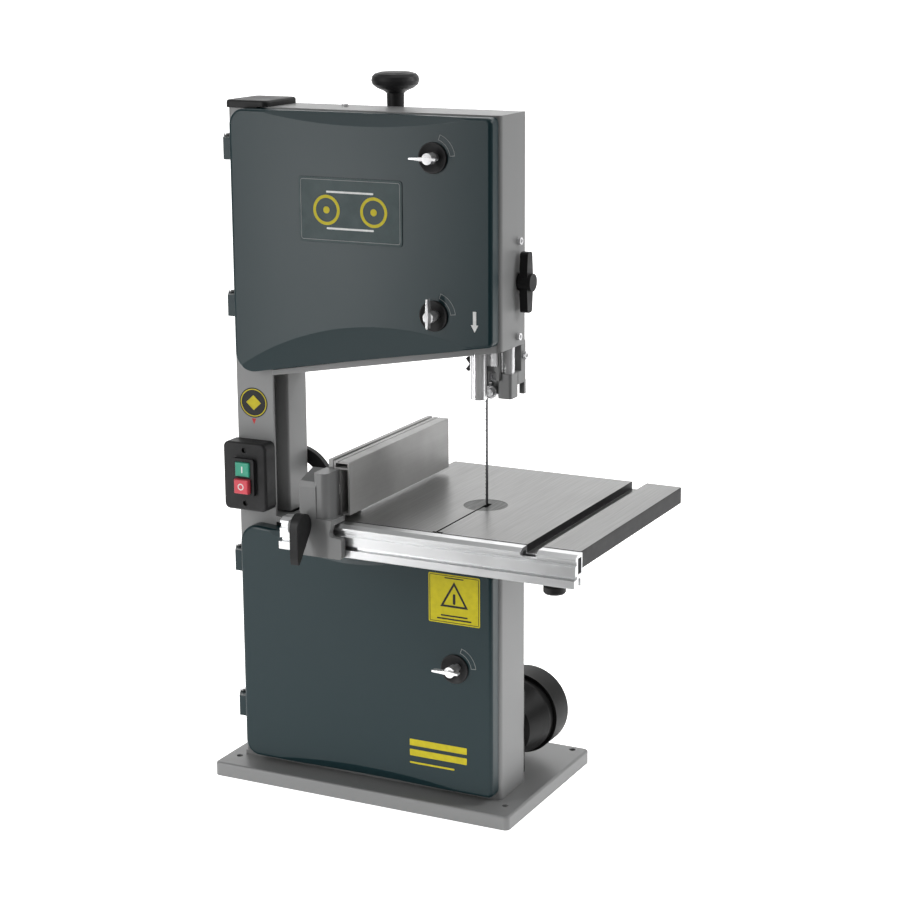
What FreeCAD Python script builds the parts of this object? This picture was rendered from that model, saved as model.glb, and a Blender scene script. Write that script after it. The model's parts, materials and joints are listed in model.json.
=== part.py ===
# Ten-inch bench band saw, built as an assembly of separate parts.
# Frame: X to the right seen from the front, Y to the back, Z up, in millimetres.
# The origin is the centre of the base plate's underside, and the doors face -Y.
import math
import os

import FreeCAD, Part

os.makedirs("parts", exist_ok=True)
V = FreeCAD.Vector

# Base plate and column
BASE_W = 393.0
BASE_D = 236.0
BASE_T = 17.0
BASE_HOLE_X = 179.0
BASE_HOLE_Y = (-88.0, 106.0)
BASE_HOLE_R = 4.0
COL_L = -176.0
COL_R = -134.9
COL_LIP = -125.0
FRONT_Y = -78.0
BACK_Y = -14.4
TOP_Z = 804.0

# Wheel housings: pressed trays, open to the front
SIDE_X = 168.5
TRAY_L = -134.8
SHEET = 1.5
FLANGE = 8.0
UPPER_SLOPE = 0.1733
UPPER_BOTTOM_AT_SIDE = 545.0
LOWER_SLOPE = -0.115
LOWER_TOP_AT_SIDE = 290.5

# Doors
DOOR_L = -165.0
DOOR_R = 166.0
DOOR_FRONT = -96.0
DOOR_REAR = -78.4
DOOR_SKIN = 2.8
DOOR_EDGE_R = 4.0
DOOR_TOP = 802.4
DOOR_BOTTOM = 25.0
LOWER_DOOR_TOP = 293.0
LOWER_DOOR_SLOPE = -0.0695
HINGE_X = -180.4
HINGE_Y = -74.0
HINGE_PIN_R = 2.0
BARREL_R = 3.8
HINGE_Z = (756.5, 575.0, 267.0, 83.5)
KNUCKLE_HALF = 12.6
LEAF_HALF = 14.3

# Wheels and blade
WHEEL_X = 1.2
UPPER_WHEEL_Z = 662.0
LOWER_WHEEL_Z = 160.0
RIM_R = 121.7
TYRE_R = 124.7
BLADE_IN_R = 125.0
BLADE_T = 0.6
BLADE_W = 6.4
BLADE_BACK = -23.0
BLADE_Y = -29.0
BLADE_X = WHEEL_X + BLADE_IN_R + BLADE_T / 2
WHEEL_W = 20.0
SHAFT_R = 6.0

# Motor and belt drive
MOTOR_X = 134.5
MOTOR_Z = 78.4
MOTOR_PULLEY_R = 25.0
WHEEL_PULLEY_R = 32.5
BELT_GAP = 0.3
BELT_T = 3.0

# Table, rail and fence
TABLE_TOP = 354.7
TABLE_T = 19.0
TABLE_SKIN = 9.0
TABLE_X = (0.0, 300.5)
TABLE_Y = (-157.0, 145.0)
SLOT_X = (237.3, 256.1)
SLOT_DEPTH = 9.0
INSERT_R = 25.5
INSERT_T = 3.0
TRUNNION_R = 50.0
RAIL_X = (-61.0, 302.0)
RAIL_FRONT = -176.0
RAIL_Z = (318.5, 354.2)
FENCE_X = (0.0, 19.5)
FENCE_Y = (-156.8, 90.0)
FENCE_Z = (361.6, 422.3)
LEVER_R = 15.5

# Guide post
POST_X = 154.5
POST_R = 7.5
POST_BOTTOM = 495.0
POST_TOP = 772.0

TINY = 0.01


def box(x0, x1, y0, y1, z0, z1):
    """A block between two corners."""
    return Part.makeBox(x1 - x0, y1 - y0, z1 - z0, V(x0, y0, z0))


def rod(radius, start, end):
    """A round bar between two points."""
    a = V(*start)
    b = V(*end)
    return Part.makeCylinder(radius, (b - a).Length, a, b - a)


def tube(outer, inner, start, end):
    """A round bar with a bore right through it."""
    return rod(outer, start, end).cut(rod(inner, start, end))


def cone(radius_start, radius_end, start, end):
    """A straight taper between two points."""
    a = V(*start)
    b = V(*end)
    return Part.makeCone(radius_start, radius_end, (b - a).Length, a, b - a)


def fuse(first, *others):
    """One solid out of several that touch or overlap."""
    shape = first
    for other in others:
        shape = shape.fuse(other)
    return shape.removeSplitter()


def outline(points, radii, place):
    """A closed wire through the points, each corner rounded by its own radius."""
    count = len(points)
    ends = []
    for i in range(count):
        p = V(points[i][0], points[i][1], 0)
        before = V(points[i - 1][0], points[i - 1][1], 0) - p
        after = V(points[(i + 1) % count][0], points[(i + 1) % count][1], 0) - p
        before.normalize()
        after.normalize()
        half = before.getAngle(after) / 2
        radius = radii[i]
        if radius <= 0:
            ends.append((p, None, p))
            continue
        run = radius / math.tan(half)
        inward = before + after
        inward.normalize()
        middle = p + inward * (radius / math.sin(half) - radius)
        ends.append((p + before * run, middle, p + after * run))
    edges = []
    for i in range(count):
        start, middle, end = ends[i]
        if middle is not None:
            edges.append(Part.Arc(place(start), place(middle), place(end)).toShape())
        following = ends[(i + 1) % count][0]
        edges.append(Part.LineSegment(place(end), place(following)).toShape())
    return Part.Wire(edges)


def prism_y(points, y0, y1, radii=None):
    """A shape drawn in X and Z, drawn out along Y."""
    wire = outline(points, radii or [0] * len(points), lambda p: V(p.x, y0, p.y))
    return Part.Face(wire).extrude(V(0, y1 - y0, 0))


def prism_x(points, x0, x1, radii=None):
    """A shape drawn in Y and Z, drawn out along X."""
    wire = outline(points, radii or [0] * len(points), lambda p: V(x0, p.x, p.y))
    return Part.Face(wire).extrude(V(x1 - x0, 0, 0))


def prism_z(points, z0, z1, radii=None):
    """A shape drawn in X and Y, drawn out along Z."""
    wire = outline(points, radii or [0] * len(points), lambda p: V(p.x, p.y, z0))
    return Part.Face(wire).extrude(V(0, 0, z1 - z0))


def turned(profile, centre, axis):
    """A lathe-turned solid: the profile lists (distance along the axis, radius)."""
    points = [V(0, along, radius) for along, radius in profile]
    wire = Part.makePolygon(points + points[:1])
    solid = Part.Face(wire).revolve(V(0, 0, 0), V(0, 1, 0), 360)
    solid = Part.Solid(solid) if solid.ShapeType != "Solid" else solid
    if axis == "z":
        solid.rotate(V(0, 0, 0), V(1, 0, 0), 90)
    if axis == "x":
        solid.rotate(V(0, 0, 0), V(0, 0, 1), -90)
    solid.translate(V(*centre))
    return solid


def turn_about_y(shape, degrees, x, z):
    """A copy turned about a line along +Y through (x, z)."""
    moved = shape.copy()
    moved.rotate(V(x, 0, z), V(0, 1, 0), degrees)
    return moved


def polar(radius, degrees, x, z):
    """A point at an angle round (x, z), measured from +X towards +Z."""
    a = math.radians(degrees)
    return (x + radius * math.cos(a), z + radius * math.sin(a))


def upright_y(shape, radius):
    """The shape with the edges that run along Y rounded."""
    chosen = []
    for edge in shape.Edges:
        a = edge.Vertexes[0].Point
        b = edge.Vertexes[-1].Point
        if abs(a.x - b.x) < TINY and abs(a.z - b.z) < TINY and abs(a.y - b.y) > TINY:
            chosen.append(edge)
    return shape.makeFillet(radius, chosen)


def edges_where(shape, test):
    """The edges whose two ends and middle all pass the test."""
    found = []
    for edge in shape.Edges:
        first, last = edge.ParameterRange
        spots = [edge.valueAt(first), edge.valueAt((first + last) / 2), edge.valueAt(last)]
        if all(test(p) for p in spots):
            found.append(edge)
    return found


def rounded(shape, radius, test):
    """The shape with the chosen edges rounded."""
    return shape.makeFillet(radius, edges_where(shape, test))


def upright(shape, radius):
    """The shape with its vertical edges rounded."""
    chosen = []
    for edge in shape.Edges:
        a = edge.Vertexes[0].Point
        b = edge.Vertexes[-1].Point
        if abs(a.x - b.x) < TINY and abs(a.y - b.y) < TINY and abs(a.z - b.z) > TINY:
            chosen.append(edge)
    return shape.makeFillet(radius, chosen)


def save(node, *solids):
    """Write one node's solids to its own STEP file."""
    flat = []
    for s in solids:
        flat.extend(s.Solids)
    shape = flat[0] if len(flat) == 1 else Part.makeCompound(flat)
    if not shape.isValid():
        print("not valid:", node)
    shape.exportStep("parts/" + node + ".step")


def upper_bottom(x):
    """Height of the upper housing's sloping underside."""
    return UPPER_BOTTOM_AT_SIDE + UPPER_SLOPE * (x - SIDE_X)


def lower_top(x):
    """Height of the lower housing's sloping top."""
    return LOWER_TOP_AT_SIDE + LOWER_SLOPE * (x - SIDE_X)


# ---------------------------------------------------------------- base and column

def make_base():
    plate = box(-BASE_W / 2, BASE_W / 2, -BASE_D / 2, BASE_D / 2, 0, BASE_T)
    plate = upright(plate, 6)
    plate = rounded(plate, 3, lambda p: abs(p.z - BASE_T) < TINY)
    # The plate is a pressed tray: hollow below, with a boss at each corner hole.
    hollow = box(-BASE_W / 2 + 4, BASE_W / 2 - 4, -BASE_D / 2 + 4, BASE_D / 2 - 4, -1, BASE_T - 4)
    plate = plate.cut(upright(hollow, 3))
    for sx in (-1, 1):
        for y in BASE_HOLE_Y:
            x = sx * BASE_HOLE_X
            plate = plate.fuse(rod(9, (x, y, 0), (x, y, BASE_T - 3)))
    for x in (-90, 0, 90):
        plate = plate.fuse(box(x - 2, x + 2, -BASE_D / 2 + 3, BASE_D / 2 - 3, 0, BASE_T - 3))
    plate = plate.removeSplitter()
    for sx in (-1, 1):
        for y in BASE_HOLE_Y:
            x = sx * BASE_HOLE_X
            plate = plate.cut(rod(BASE_HOLE_R, (x, y, -1), (x, y, BASE_T + 1)))
    save("base_plate", plate)


STICK_X = -136.0
STICK_Z = 345.0
STICK_Y = (BACK_Y + 3.0, BACK_Y + 11.0)


def stick_clips():
    """Two hooks on the column's back that hold the push stick."""
    clips = []
    y0, y1 = STICK_Y
    for z in (STICK_Z - 120, STICK_Z - 10):
        clip = box(STICK_X - 38, STICK_X - 4, BACK_Y - 1, y1 + 2.2, z - 6, z + 6)
        clips.append(clip.cut(box(STICK_X - 34, STICK_X - 3, y0 - 0.02, y1 + 0.02, z - 7, z + 7)))
    return clips


def make_column():
    outer = box(COL_L, COL_R, FRONT_Y, BACK_Y, BASE_T, TOP_Z - 2)
    outer = rounded(outer, 4, lambda p: abs(p.x - COL_L) < TINY and abs(p.y - FRONT_Y) < TINY)
    inner = box(COL_L + 3, COL_R - 3, FRONT_Y + 3, BACK_Y - 3, BASE_T - 1, TOP_Z)
    lip = box(COL_R - 1, COL_LIP, FRONT_Y, FRONT_Y + 3, BASE_T, TOP_Z - 2)
    foot = box(COL_L, COL_R, FRONT_Y, BACK_Y, BASE_T, BASE_T + 5)
    column = outer.fuse(lip).cut(inner).fuse(foot).removeSplitter()
    for leaf in hinge_leaves():
        column = column.fuse(leaf)
    for clip in stick_clips():
        column = column.fuse(clip)
    save("column", column.removeSplitter())

    # Moulded cap: a slab over the column and the housing's corner, with a plug in the column
    cap = box(COL_L - 2.5, COL_LIP + 3.5, FRONT_Y - 4, BACK_Y + 3, TOP_Z - 1.99, TOP_Z + 7)
    cap = upright(cap, 8)
    cap = rounded(cap, 3, lambda p: abs(p.z - TOP_Z - 7) < TINY)
    cap = cap.cut(box(COL_R, COL_LIP + 9, FRONT_Y - 9, BACK_Y + 9, TOP_Z - 10, TOP_Z + TINY))
    cap = cap.cut(box(COL_L - 9, COL_LIP + 9, FRONT_Y - 9, FRONT_Y, TOP_Z - 10, TOP_Z - 1.0))
    plug = box(COL_L + 3.2, COL_R - 3.2, FRONT_Y + 3.2, BACK_Y - 3.2, TOP_Z - 16, TOP_Z - 1)
    plug = plug.cut(box(COL_L + 5.5, COL_R - 5.5, FRONT_Y + 5.5, BACK_Y - 5.5, TOP_Z - 17, TOP_Z - 2))
    cap = cap.fuse(plug).removeSplitter()
    save("column_cap", cap)


# ---------------------------------------------------------------- wheel housings

def tray(bottom_left, bottom_right, top_right, top_left):
    """A folded tray with a closed back and a narrow flange round its open front."""
    x0 = TRAY_L
    x1 = SIDE_X
    corners = [(x0, bottom_left), (x1, bottom_right), (x1, top_right), (x0, top_left)]
    outer = prism_y(corners, FRONT_Y, BACK_Y)
    outer = rounded(outer, 6, lambda p: abs(p.x - x1) < TINY and abs(p.y - FRONT_Y) < TINY)
    inset = [
        (x0 + SHEET, bottom_left + SHEET),
        (x1 - SHEET, bottom_right + SHEET),
        (x1 - SHEET, top_right - SHEET),
        (x0 + SHEET, top_left - SHEET),
    ]
    inner = prism_y(inset, FRONT_Y + SHEET, BACK_Y - SHEET)
    inner = rounded(
        inner,
        4.5,
        lambda p: abs(p.x - x1 + SHEET) < TINY and abs(p.y - FRONT_Y - SHEET) < TINY,
    )
    mouth = [
        (COL_LIP + 0.2, bottom_left + FLANGE),
        (x1 - FLANGE, bottom_right + FLANGE),
        (x1 - FLANGE, top_right - FLANGE),
        (COL_LIP + 0.2, top_left - FLANGE),
    ]
    shell = outer.cut(inner).cut(prism_y(mouth, FRONT_Y - 1, FRONT_Y + 8))
    # The column's front lip takes the place of the tray's front left edge.
    lip_room = box(x0 - 1, COL_LIP, FRONT_Y - 1, FRONT_Y + 3.1, bottom_left - 60, top_left + 60)
    return shell.cut(lip_room)


def make_upper_housing():
    shell = tray(upper_bottom(TRAY_L), upper_bottom(SIDE_X), TOP_Z, TOP_Z)
    # Slots in the underside for the cutting run, the guide post and the returning blade
    shell = shell.cut(box(110, 165, -66, -17.5, 520, 555))
    shell = shell.cut(box(-131.5, -117, -52, -18, 480, 505))
    # Slot in the back for the upper wheel's shaft, and the side screw hole for the guide lock
    shell = shell.cut(box(WHEEL_X - 10, WHEEL_X + 10, -20, -10, 642, 672))
    shell = shell.cut(rod(4.2, (160, BLADE_Y, 617), (175, BLADE_Y, 617)))
    save("upper_housing", shell)


def make_lower_housing():
    shell = tray(BASE_T, BASE_T, lower_top(SIDE_X), lower_top(TRAY_L))
    shell = shell.cut(box(112, 141, -50, -17.5, 280, 312))
    shell = shell.cut(box(-131.5, -117, -52, -18, 315, 330))
    # Hole in the back for the motor shaft
    shell = shell.cut(rod(13, (MOTOR_X, -20, MOTOR_Z), (MOTOR_X, -10, MOTOR_Z)))
    # Hole in the back for the dust port
    shell = shell.cut(rod(45, (-62, -20, 82), (-62, -10, 82)))
    save("lower_housing", shell)


def make_return_guard():
    """The channel over the blade's returning run, beside the column."""
    x0 = COL_R + 0.1
    x1 = -118.0
    low = lower_top(TRAY_L) + 0.6
    high = upper_bottom(TRAY_L) - 0.6
    outer = box(x0, x1, -57, BACK_Y, low, high)
    outer = rounded(outer, 2.5, lambda p: abs(p.x - x1) < TINY and abs(p.y + 57) < TINY)
    inner = box(x0 + SHEET, x1 - SHEET, -57 + SHEET, BACK_Y - SHEET, low - 1, high + 1)
    save("return_blade_guard", outer.cut(inner))


# ---------------------------------------------------------------- doors and latches

def dish(centre, radius, rate, shift):
    """A very wide shallow cone that slopes the door face away inside a curved crease."""
    reach = 13.0
    cx, cz = centre
    front = DOOR_FRONT - 2.0 + shift
    rear = DOOR_FRONT + reach + shift
    return cone(radius + 2.0 * rate, radius - reach * rate, (cx, front, cz), (cx, rear, cz))


def door(points, radii, creases, lugs, holes):
    """A moulded door: a thin crowned shell with hinge lugs and latch holes."""
    outer = prism_y(points, DOOR_FRONT, DOOR_REAR, radii)
    outer = rounded(outer, DOOR_EDGE_R, lambda p: abs(p.y - DOOR_FRONT) < TINY)
    centre_x = sum(p[0] for p in points) / len(points)
    centre_z = sum(p[1] for p in points) / len(points)
    inset = []
    for x, z in points:
        step_x = DOOR_SKIN if x < centre_x else -DOOR_SKIN
        step_z = DOOR_SKIN if z < centre_z else -DOOR_SKIN
        inset.append((x + step_x, z + step_z))
    inner_radii = [max(r - DOOR_SKIN, 2.5) for r in radii]
    inner = prism_y(inset, DOOR_FRONT + DOOR_SKIN, DOOR_REAR + 1, inner_radii)
    for centre, radius, rate in creases:
        outer = outer.cut(dish(centre, radius, rate, 0))
        inner = inner.cut(dish(centre, radius, rate, DOOR_SKIN))
    shell = outer.cut(inner)
    for z in lugs:
        low = z - KNUCKLE_HALF
        high = z + KNUCKLE_HALF
        # An arm in front of the column that turns back along its side to the barrel
        arm = [
            (COL_L, -90),
            (DOOR_L + 4, -90),
            (DOOR_L + 4, FRONT_Y - 1),
            (COL_L - 0.6, FRONT_Y - 1),
            (COL_L - 0.6, HINGE_Y),
            (HINGE_X - 3.2, HINGE_Y - 2),
        ]
        lug = prism_z(arm, low, high)
        lug = lug.fuse(rod(BARREL_R, (HINGE_X, HINGE_Y, low), (HINGE_X, HINGE_Y, high)))
        shell = shell.fuse(lug)
        shell = shell.cut(rod(HINGE_PIN_R + 0.05, (HINGE_X, HINGE_Y, low - 1), (HINGE_X, HINGE_Y, high + 1)))
    for x, z in holes:
        # A boss with a conical bowl round the latch spindle
        boss = rod(17, (x, DOOR_FRONT - 2, z), (x, DOOR_REAR - 4, z))
        bowl = cone(15.8, 6.0, (x, DOOR_FRONT - 2.1, z), (x, DOOR_FRONT + 6, z))
        shell = shell.fuse(boss).cut(bowl).cut(rod(4.3, (x, DOOR_FRONT - 5, z), (x, DOOR_REAR + 5, z)))
    return shell.removeSplitter()


LATCHES = {
    "top": (95.8, 757.6),
    "middle": (95.6, 583.7),
    "lower": (119.3, 176.4),
}


def make_doors():
    def door_bottom(x):
        return 553.0 + UPPER_SLOPE * (x - DOOR_R)

    def door_top(x):
        return LOWER_DOOR_TOP + LOWER_DOOR_SLOPE * (x - DOOR_R)

    corners = [
        (DOOR_L, door_bottom(DOOR_L)),
        (DOOR_R, door_bottom(DOOR_R)),
        (DOOR_R, DOOR_TOP),
        (DOOR_L, DOOR_TOP),
    ]
    creases = [((8.0, 1504.0), 716.0, 2.4), ((37.4, 215.4), 350.0, 4.0)]
    holes = [LATCHES["top"], LATCHES["middle"]]
    upper = door(corners, [22, 6, 6, 18], creases, HINGE_Z[:2], holes)
    plate = [(-73.3, 657.7), (57.5, 657.7), (57.5, 730.5), (-73.3, 730.5)]
    upper = upper.fuse(prism_y(plate, DOOR_FRONT - 0.8, DOOR_FRONT + 1, [4, 4, 4, 4])).removeSplitter()
    save("upper_door", upper)

    corners = [
        (DOOR_L, DOOR_BOTTOM),
        (DOOR_R, DOOR_BOTTOM),
        (DOOR_R, door_top(DOOR_R)),
        (DOOR_L, door_top(DOOR_L)),
    ]
    creases = [((-19.0, 511.0), 227.0, 3.2), ((1.0, -821.5), 858.0, 2.0)]
    lower = door(corners, [18, 6, 6, 22], creases, HINGE_Z[2:], [LATCHES["lower"]])
    save("lower_door", lower)


def hinge_leaves():
    """The four fixed hinge leaves welded to the column's left face."""
    leaves = []
    for z in HINGE_Z:
        low = z - LEAF_HALF
        high = z + LEAF_HALF
        leaf = box(COL_L - 2, COL_L + 0.5, HINGE_Y + BARREL_R + 0.6, -40, low, high)
        for a, b in ((low, z - KNUCKLE_HALF - 0.3), (z + KNUCKLE_HALF + 0.3, high)):
            leaf = leaf.fuse(rod(BARREL_R, (HINGE_X, HINGE_Y, a), (HINGE_X, HINGE_Y, b)))
            leaf = leaf.fuse(box(HINGE_X - 2, COL_L - 0.02, HINGE_Y, HINGE_Y + 8, a, b))
        leaves.append(leaf.cut(rod(HINGE_PIN_R, (HINGE_X, HINGE_Y, low - 1), (HINGE_X, HINGE_Y, high + 1))))
    return leaves


def make_hinges():
    pins = []
    for z in HINGE_Z:
        low = z - LEAF_HALF
        high = z + LEAF_HALF
        pin = rod(HINGE_PIN_R, (HINGE_X, HINGE_Y, low), (HINGE_X, HINGE_Y, high))
        head = rod(3.4, (HINGE_X, HINGE_Y, high), (HINGE_X, HINGE_Y, high + 1.5))
        pins.append(fuse(pin, head))
    save("hinge_pins", *pins)


def make_latches():
    for name, (x, z) in LATCHES.items():
        # Chrome wing, shaft and the tongue behind the door
        hub = rod(6.3, (x, DOOR_FRONT - 15, z), (x, DOOR_FRONT - 3, z))
        wing = [(-21, -1.0), (0, -2.2), (12, -1.0), (12, 1.0), (0, 2.2), (-21, 1.0)]
        bar = prism_y([(x + a, z + b) for a, b in wing], DOOR_FRONT - 18, DOOR_FRONT - 11)
        shaft = rod(4.0, (x, DOOR_FRONT - 4, z), (x, -68.5, z))
        knob = fuse(hub, bar, shaft)
        if name == "middle":
            knob = turn_about_y(knob, 90, x, z)
        tongue = box(x - 7, x + 7, -71.5, -68.5, z - 30, z + 7)
        save("latch_" + name, fuse(knob, tongue))
    keepers = []
    for name, (x, z) in LATCHES.items():
        strap = box(x + 16, SIDE_X - 3, -75, -72, z - 8, z + 8)
        flange = box(SIDE_X - 5, SIDE_X - SHEET - TINY, -72, -58, z - 8, z + 8)
        keepers.append(fuse(strap, flange))
    save("latch_keepers", *keepers)


# ---------------------------------------------------------------- wheels, shafts, blade

def wheel(z):
    """A cast wheel with a thin web, a deep hub and five lightening holes."""
    front = BLADE_Y - WHEEL_W / 2
    rear = BLADE_Y + WHEEL_W / 2
    profile = [
        (front, RIM_R),
        (rear, RIM_R),
        (rear, 112),
        (-27, 109),
        (-27, 24),
        (-25, 22),
        (-25, 14),
        (-46, 14),
        (-46, 22),
        (-33, 25),
        (-33, 109),
        (front, 112),
    ]
    shape = turned(profile, (WHEEL_X, 0, z), "y")
    for i in range(5):
        x, h = polar(66, 90 + 72 * i, WHEEL_X, z)
        shape = shape.cut(rod(25, (x, -60, h), (x, -10, h)))
    return shape


def tyre(z):
    """A crowned rubber band round the wheel's rim."""
    front = BLADE_Y - WHEEL_W / 2
    rear = BLADE_Y + WHEEL_W / 2
    profile = [(front, RIM_R), (rear, RIM_R), (rear, TYRE_R - 0.5), (BLADE_Y, TYRE_R), (front, TYRE_R - 0.5)]
    return turned(profile, (WHEEL_X, 0, z), "y")


def wheel_bearings(z):
    pair = []
    for y in (-45.5, -34.0):
        ring = tube(14, SHAFT_R + 0.05, (WHEEL_X, y, z), (WHEEL_X, y + 8, z))
        groove = tube(12, 8.5, (WHEEL_X, y - 1, z), (WHEEL_X, y + 0.6, z))
        pair.append(ring.cut(groove))
    return pair


def make_wheels():
    save("upper_wheel", wheel(UPPER_WHEEL_Z))
    save("upper_tyre", tyre(UPPER_WHEEL_Z))
    save("upper_bearings", *wheel_bearings(UPPER_WHEEL_Z))
    save("lower_tyre", tyre(LOWER_WHEEL_Z))
    save("lower_bearings", *wheel_bearings(LOWER_WHEEL_Z))

    z = LOWER_WHEEL_Z
    grooves = [(-61, 14), (-61, WHEEL_PULLEY_R + 1.5), (-60, WHEEL_PULLEY_R + 1.5)]
    for i in range(4):
        y = -59.5 + i * 2.4
        grooves += [(y, WHEEL_PULLEY_R), (y + 1.2, WHEEL_PULLEY_R - 1.5), (y + 2.4, WHEEL_PULLEY_R)]
    grooves += [(-49, WHEEL_PULLEY_R + 1.5), (-48, WHEEL_PULLEY_R + 1.5), (-48, 20), (-45.9, 20), (-45.9, 14)]
    save("lower_wheel", fuse(wheel(z), turned(grooves, (WHEEL_X, 0, z), "y")))

    shaft = rod(SHAFT_R, (WHEEL_X, -63, z), (WHEEL_X, -18, z))
    flange = rod(30, (WHEEL_X, -21, z), (WHEEL_X, BACK_Y - SHEET - TINY, z))
    end = rod(9, (WHEEL_X, -66, z), (WHEEL_X, -62.5, z))
    save("lower_shaft", fuse(shaft, flange, end))


def make_blade():
    """The endless blade: two straight runs joined round both wheels."""
    front = BLADE_BACK - BLADE_W

    def loop(radius):
        x0 = WHEEL_X - radius
        x1 = WHEEL_X + radius
        low = LOWER_WHEEL_Z
        high = UPPER_WHEEL_Z
        edges = [
            Part.LineSegment(V(x1, front, low), V(x1, front, high)).toShape(),
            Part.Arc(V(x1, front, high), V(WHEEL_X, front, high + radius), V(x0, front, high)).toShape(),
            Part.LineSegment(V(x0, front, high), V(x0, front, low)).toShape(),
            Part.Arc(V(x0, front, low), V(WHEEL_X, front, low - radius), V(x1, front, low)).toShape(),
        ]
        return Part.Face(Part.Wire(edges)).extrude(V(0, BLADE_W, 0))

    save("blade", loop(BLADE_IN_R + BLADE_T).cut(loop(BLADE_IN_R)))


# ---------------------------------------------------------------- tension and tracking

BRACKET_Y = (BACK_Y, 15.0)
BRACKET_TOP = 794.0
SCREW_Y = -3.0


def make_tension():
    x = WHEEL_X
    y0, y1 = BRACKET_Y
    # Rear bracket: two side cheeks with a top plate for the screw and a shelf for the spring
    left = box(x - 30, x - 26, y0, y1, 596, BRACKET_TOP)
    right = box(x + 26, x + 30, y0, y1, 596, BRACKET_TOP)
    top = box(x - 30, x + 30, y0, y1, BRACKET_TOP - 6, BRACKET_TOP)
    shelf = box(x - 30, x + 30, y0, y1, 596, 601)
    bracket = fuse(left, right, top, shelf)
    bracket = bracket.cut(rod(5.3, (x, SCREW_Y, BRACKET_TOP - 10), (x, SCREW_Y, BRACKET_TOP + 5)))
    save("tension_bracket", bracket)

    # Carriage that slides between the cheeks and carries the wheel's yoke
    slide = box(x - 25.7, x + 25.7, y0 + 0.4, y1 - 1.5, 630, 732)
    slide = slide.cut(box(x - 16, x + 16, y0 - 1, 5.5, 638, 708))
    slide = slide.cut(rod(5.06, (x, SCREW_Y, 700), (x, SCREW_Y, 740)))
    slide = slide.cut(rod(4.05, (x - 30, -4, UPPER_WHEEL_Z), (x + 30, -4, UPPER_WHEEL_Z)))
    slide = slide.cut(rod(4.06, (x, 0, 696), (x, 20, 696)))
    save("tension_slide", slide)

    yoke = box(x - 15.6, x + 15.6, -13, 3.5, 642, 704)
    yoke = yoke.cut(rod(SHAFT_R, (x, -14, UPPER_WHEEL_Z), (x, 1, UPPER_WHEEL_Z)))
    pin = rod(4.0, (x - 25.5, -4, UPPER_WHEEL_Z), (x + 25.5, -4, UPPER_WHEEL_Z))
    yoke = yoke.fuse(pin).cut(rod(SHAFT_R, (x, -14, UPPER_WHEEL_Z), (x, 1, UPPER_WHEEL_Z)))
    save("wheel_yoke", yoke.removeSplitter())

    shaft = rod(SHAFT_R, (x, -48, UPPER_WHEEL_Z), (x, 1, UPPER_WHEEL_Z))
    end = rod(9, (x, -50, UPPER_WHEEL_Z), (x, -47, UPPER_WHEEL_Z))
    save("upper_shaft", fuse(shaft, end))

    # Coil spring between the shelf and the carriage
    helix = Part.makeHelix(5.6, 25.2, 7.5)
    helix.translate(V(x, SCREW_Y, 602.9))
    start = helix.Edges[0].valueAt(helix.Edges[0].FirstParameter)
    ring = Part.Wire(Part.Circle(start, V(0, 1, 0.12), 1.2).toShape())
    coil = Part.Wire(helix.Edges).makePipeShell([ring], True, True)
    save("tension_spring", coil)

    # Screw that turns with the top knob, running in the carriage
    screw = rod(5.0, (x, SCREW_Y, 712), (x, SCREW_Y, 822.5))
    knob = [
        (BRACKET_TOP + 0.4, 5.0),
        (BRACKET_TOP + 0.4, 9.6),
        (818, 10.0),
        (820.5, 13),
        (824, 21),
        (828, 26),
        (832.5, 27.4),
        (837, 26.4),
        (840, 23.5),
        (841.8, 17),
        (842.3, 0),
        (BRACKET_TOP + 0.4, 0),
    ]
    save("tension_knob", fuse(screw, turned(knob, (x, SCREW_Y, 0), "z")))

    # Tracking knob on the back of the carriage, with its screw
    screw = rod(4.0, (x, 4.4, 696), (x, 24, 696))
    head = [(18, 0), (18, 9), (22, 16), (34, 16), (37, 13), (37, 0)]
    save("tracking_knob", fuse(screw, turned(head, (x, 0, 696), "y")))


# ---------------------------------------------------------------- motor and belt

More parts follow.
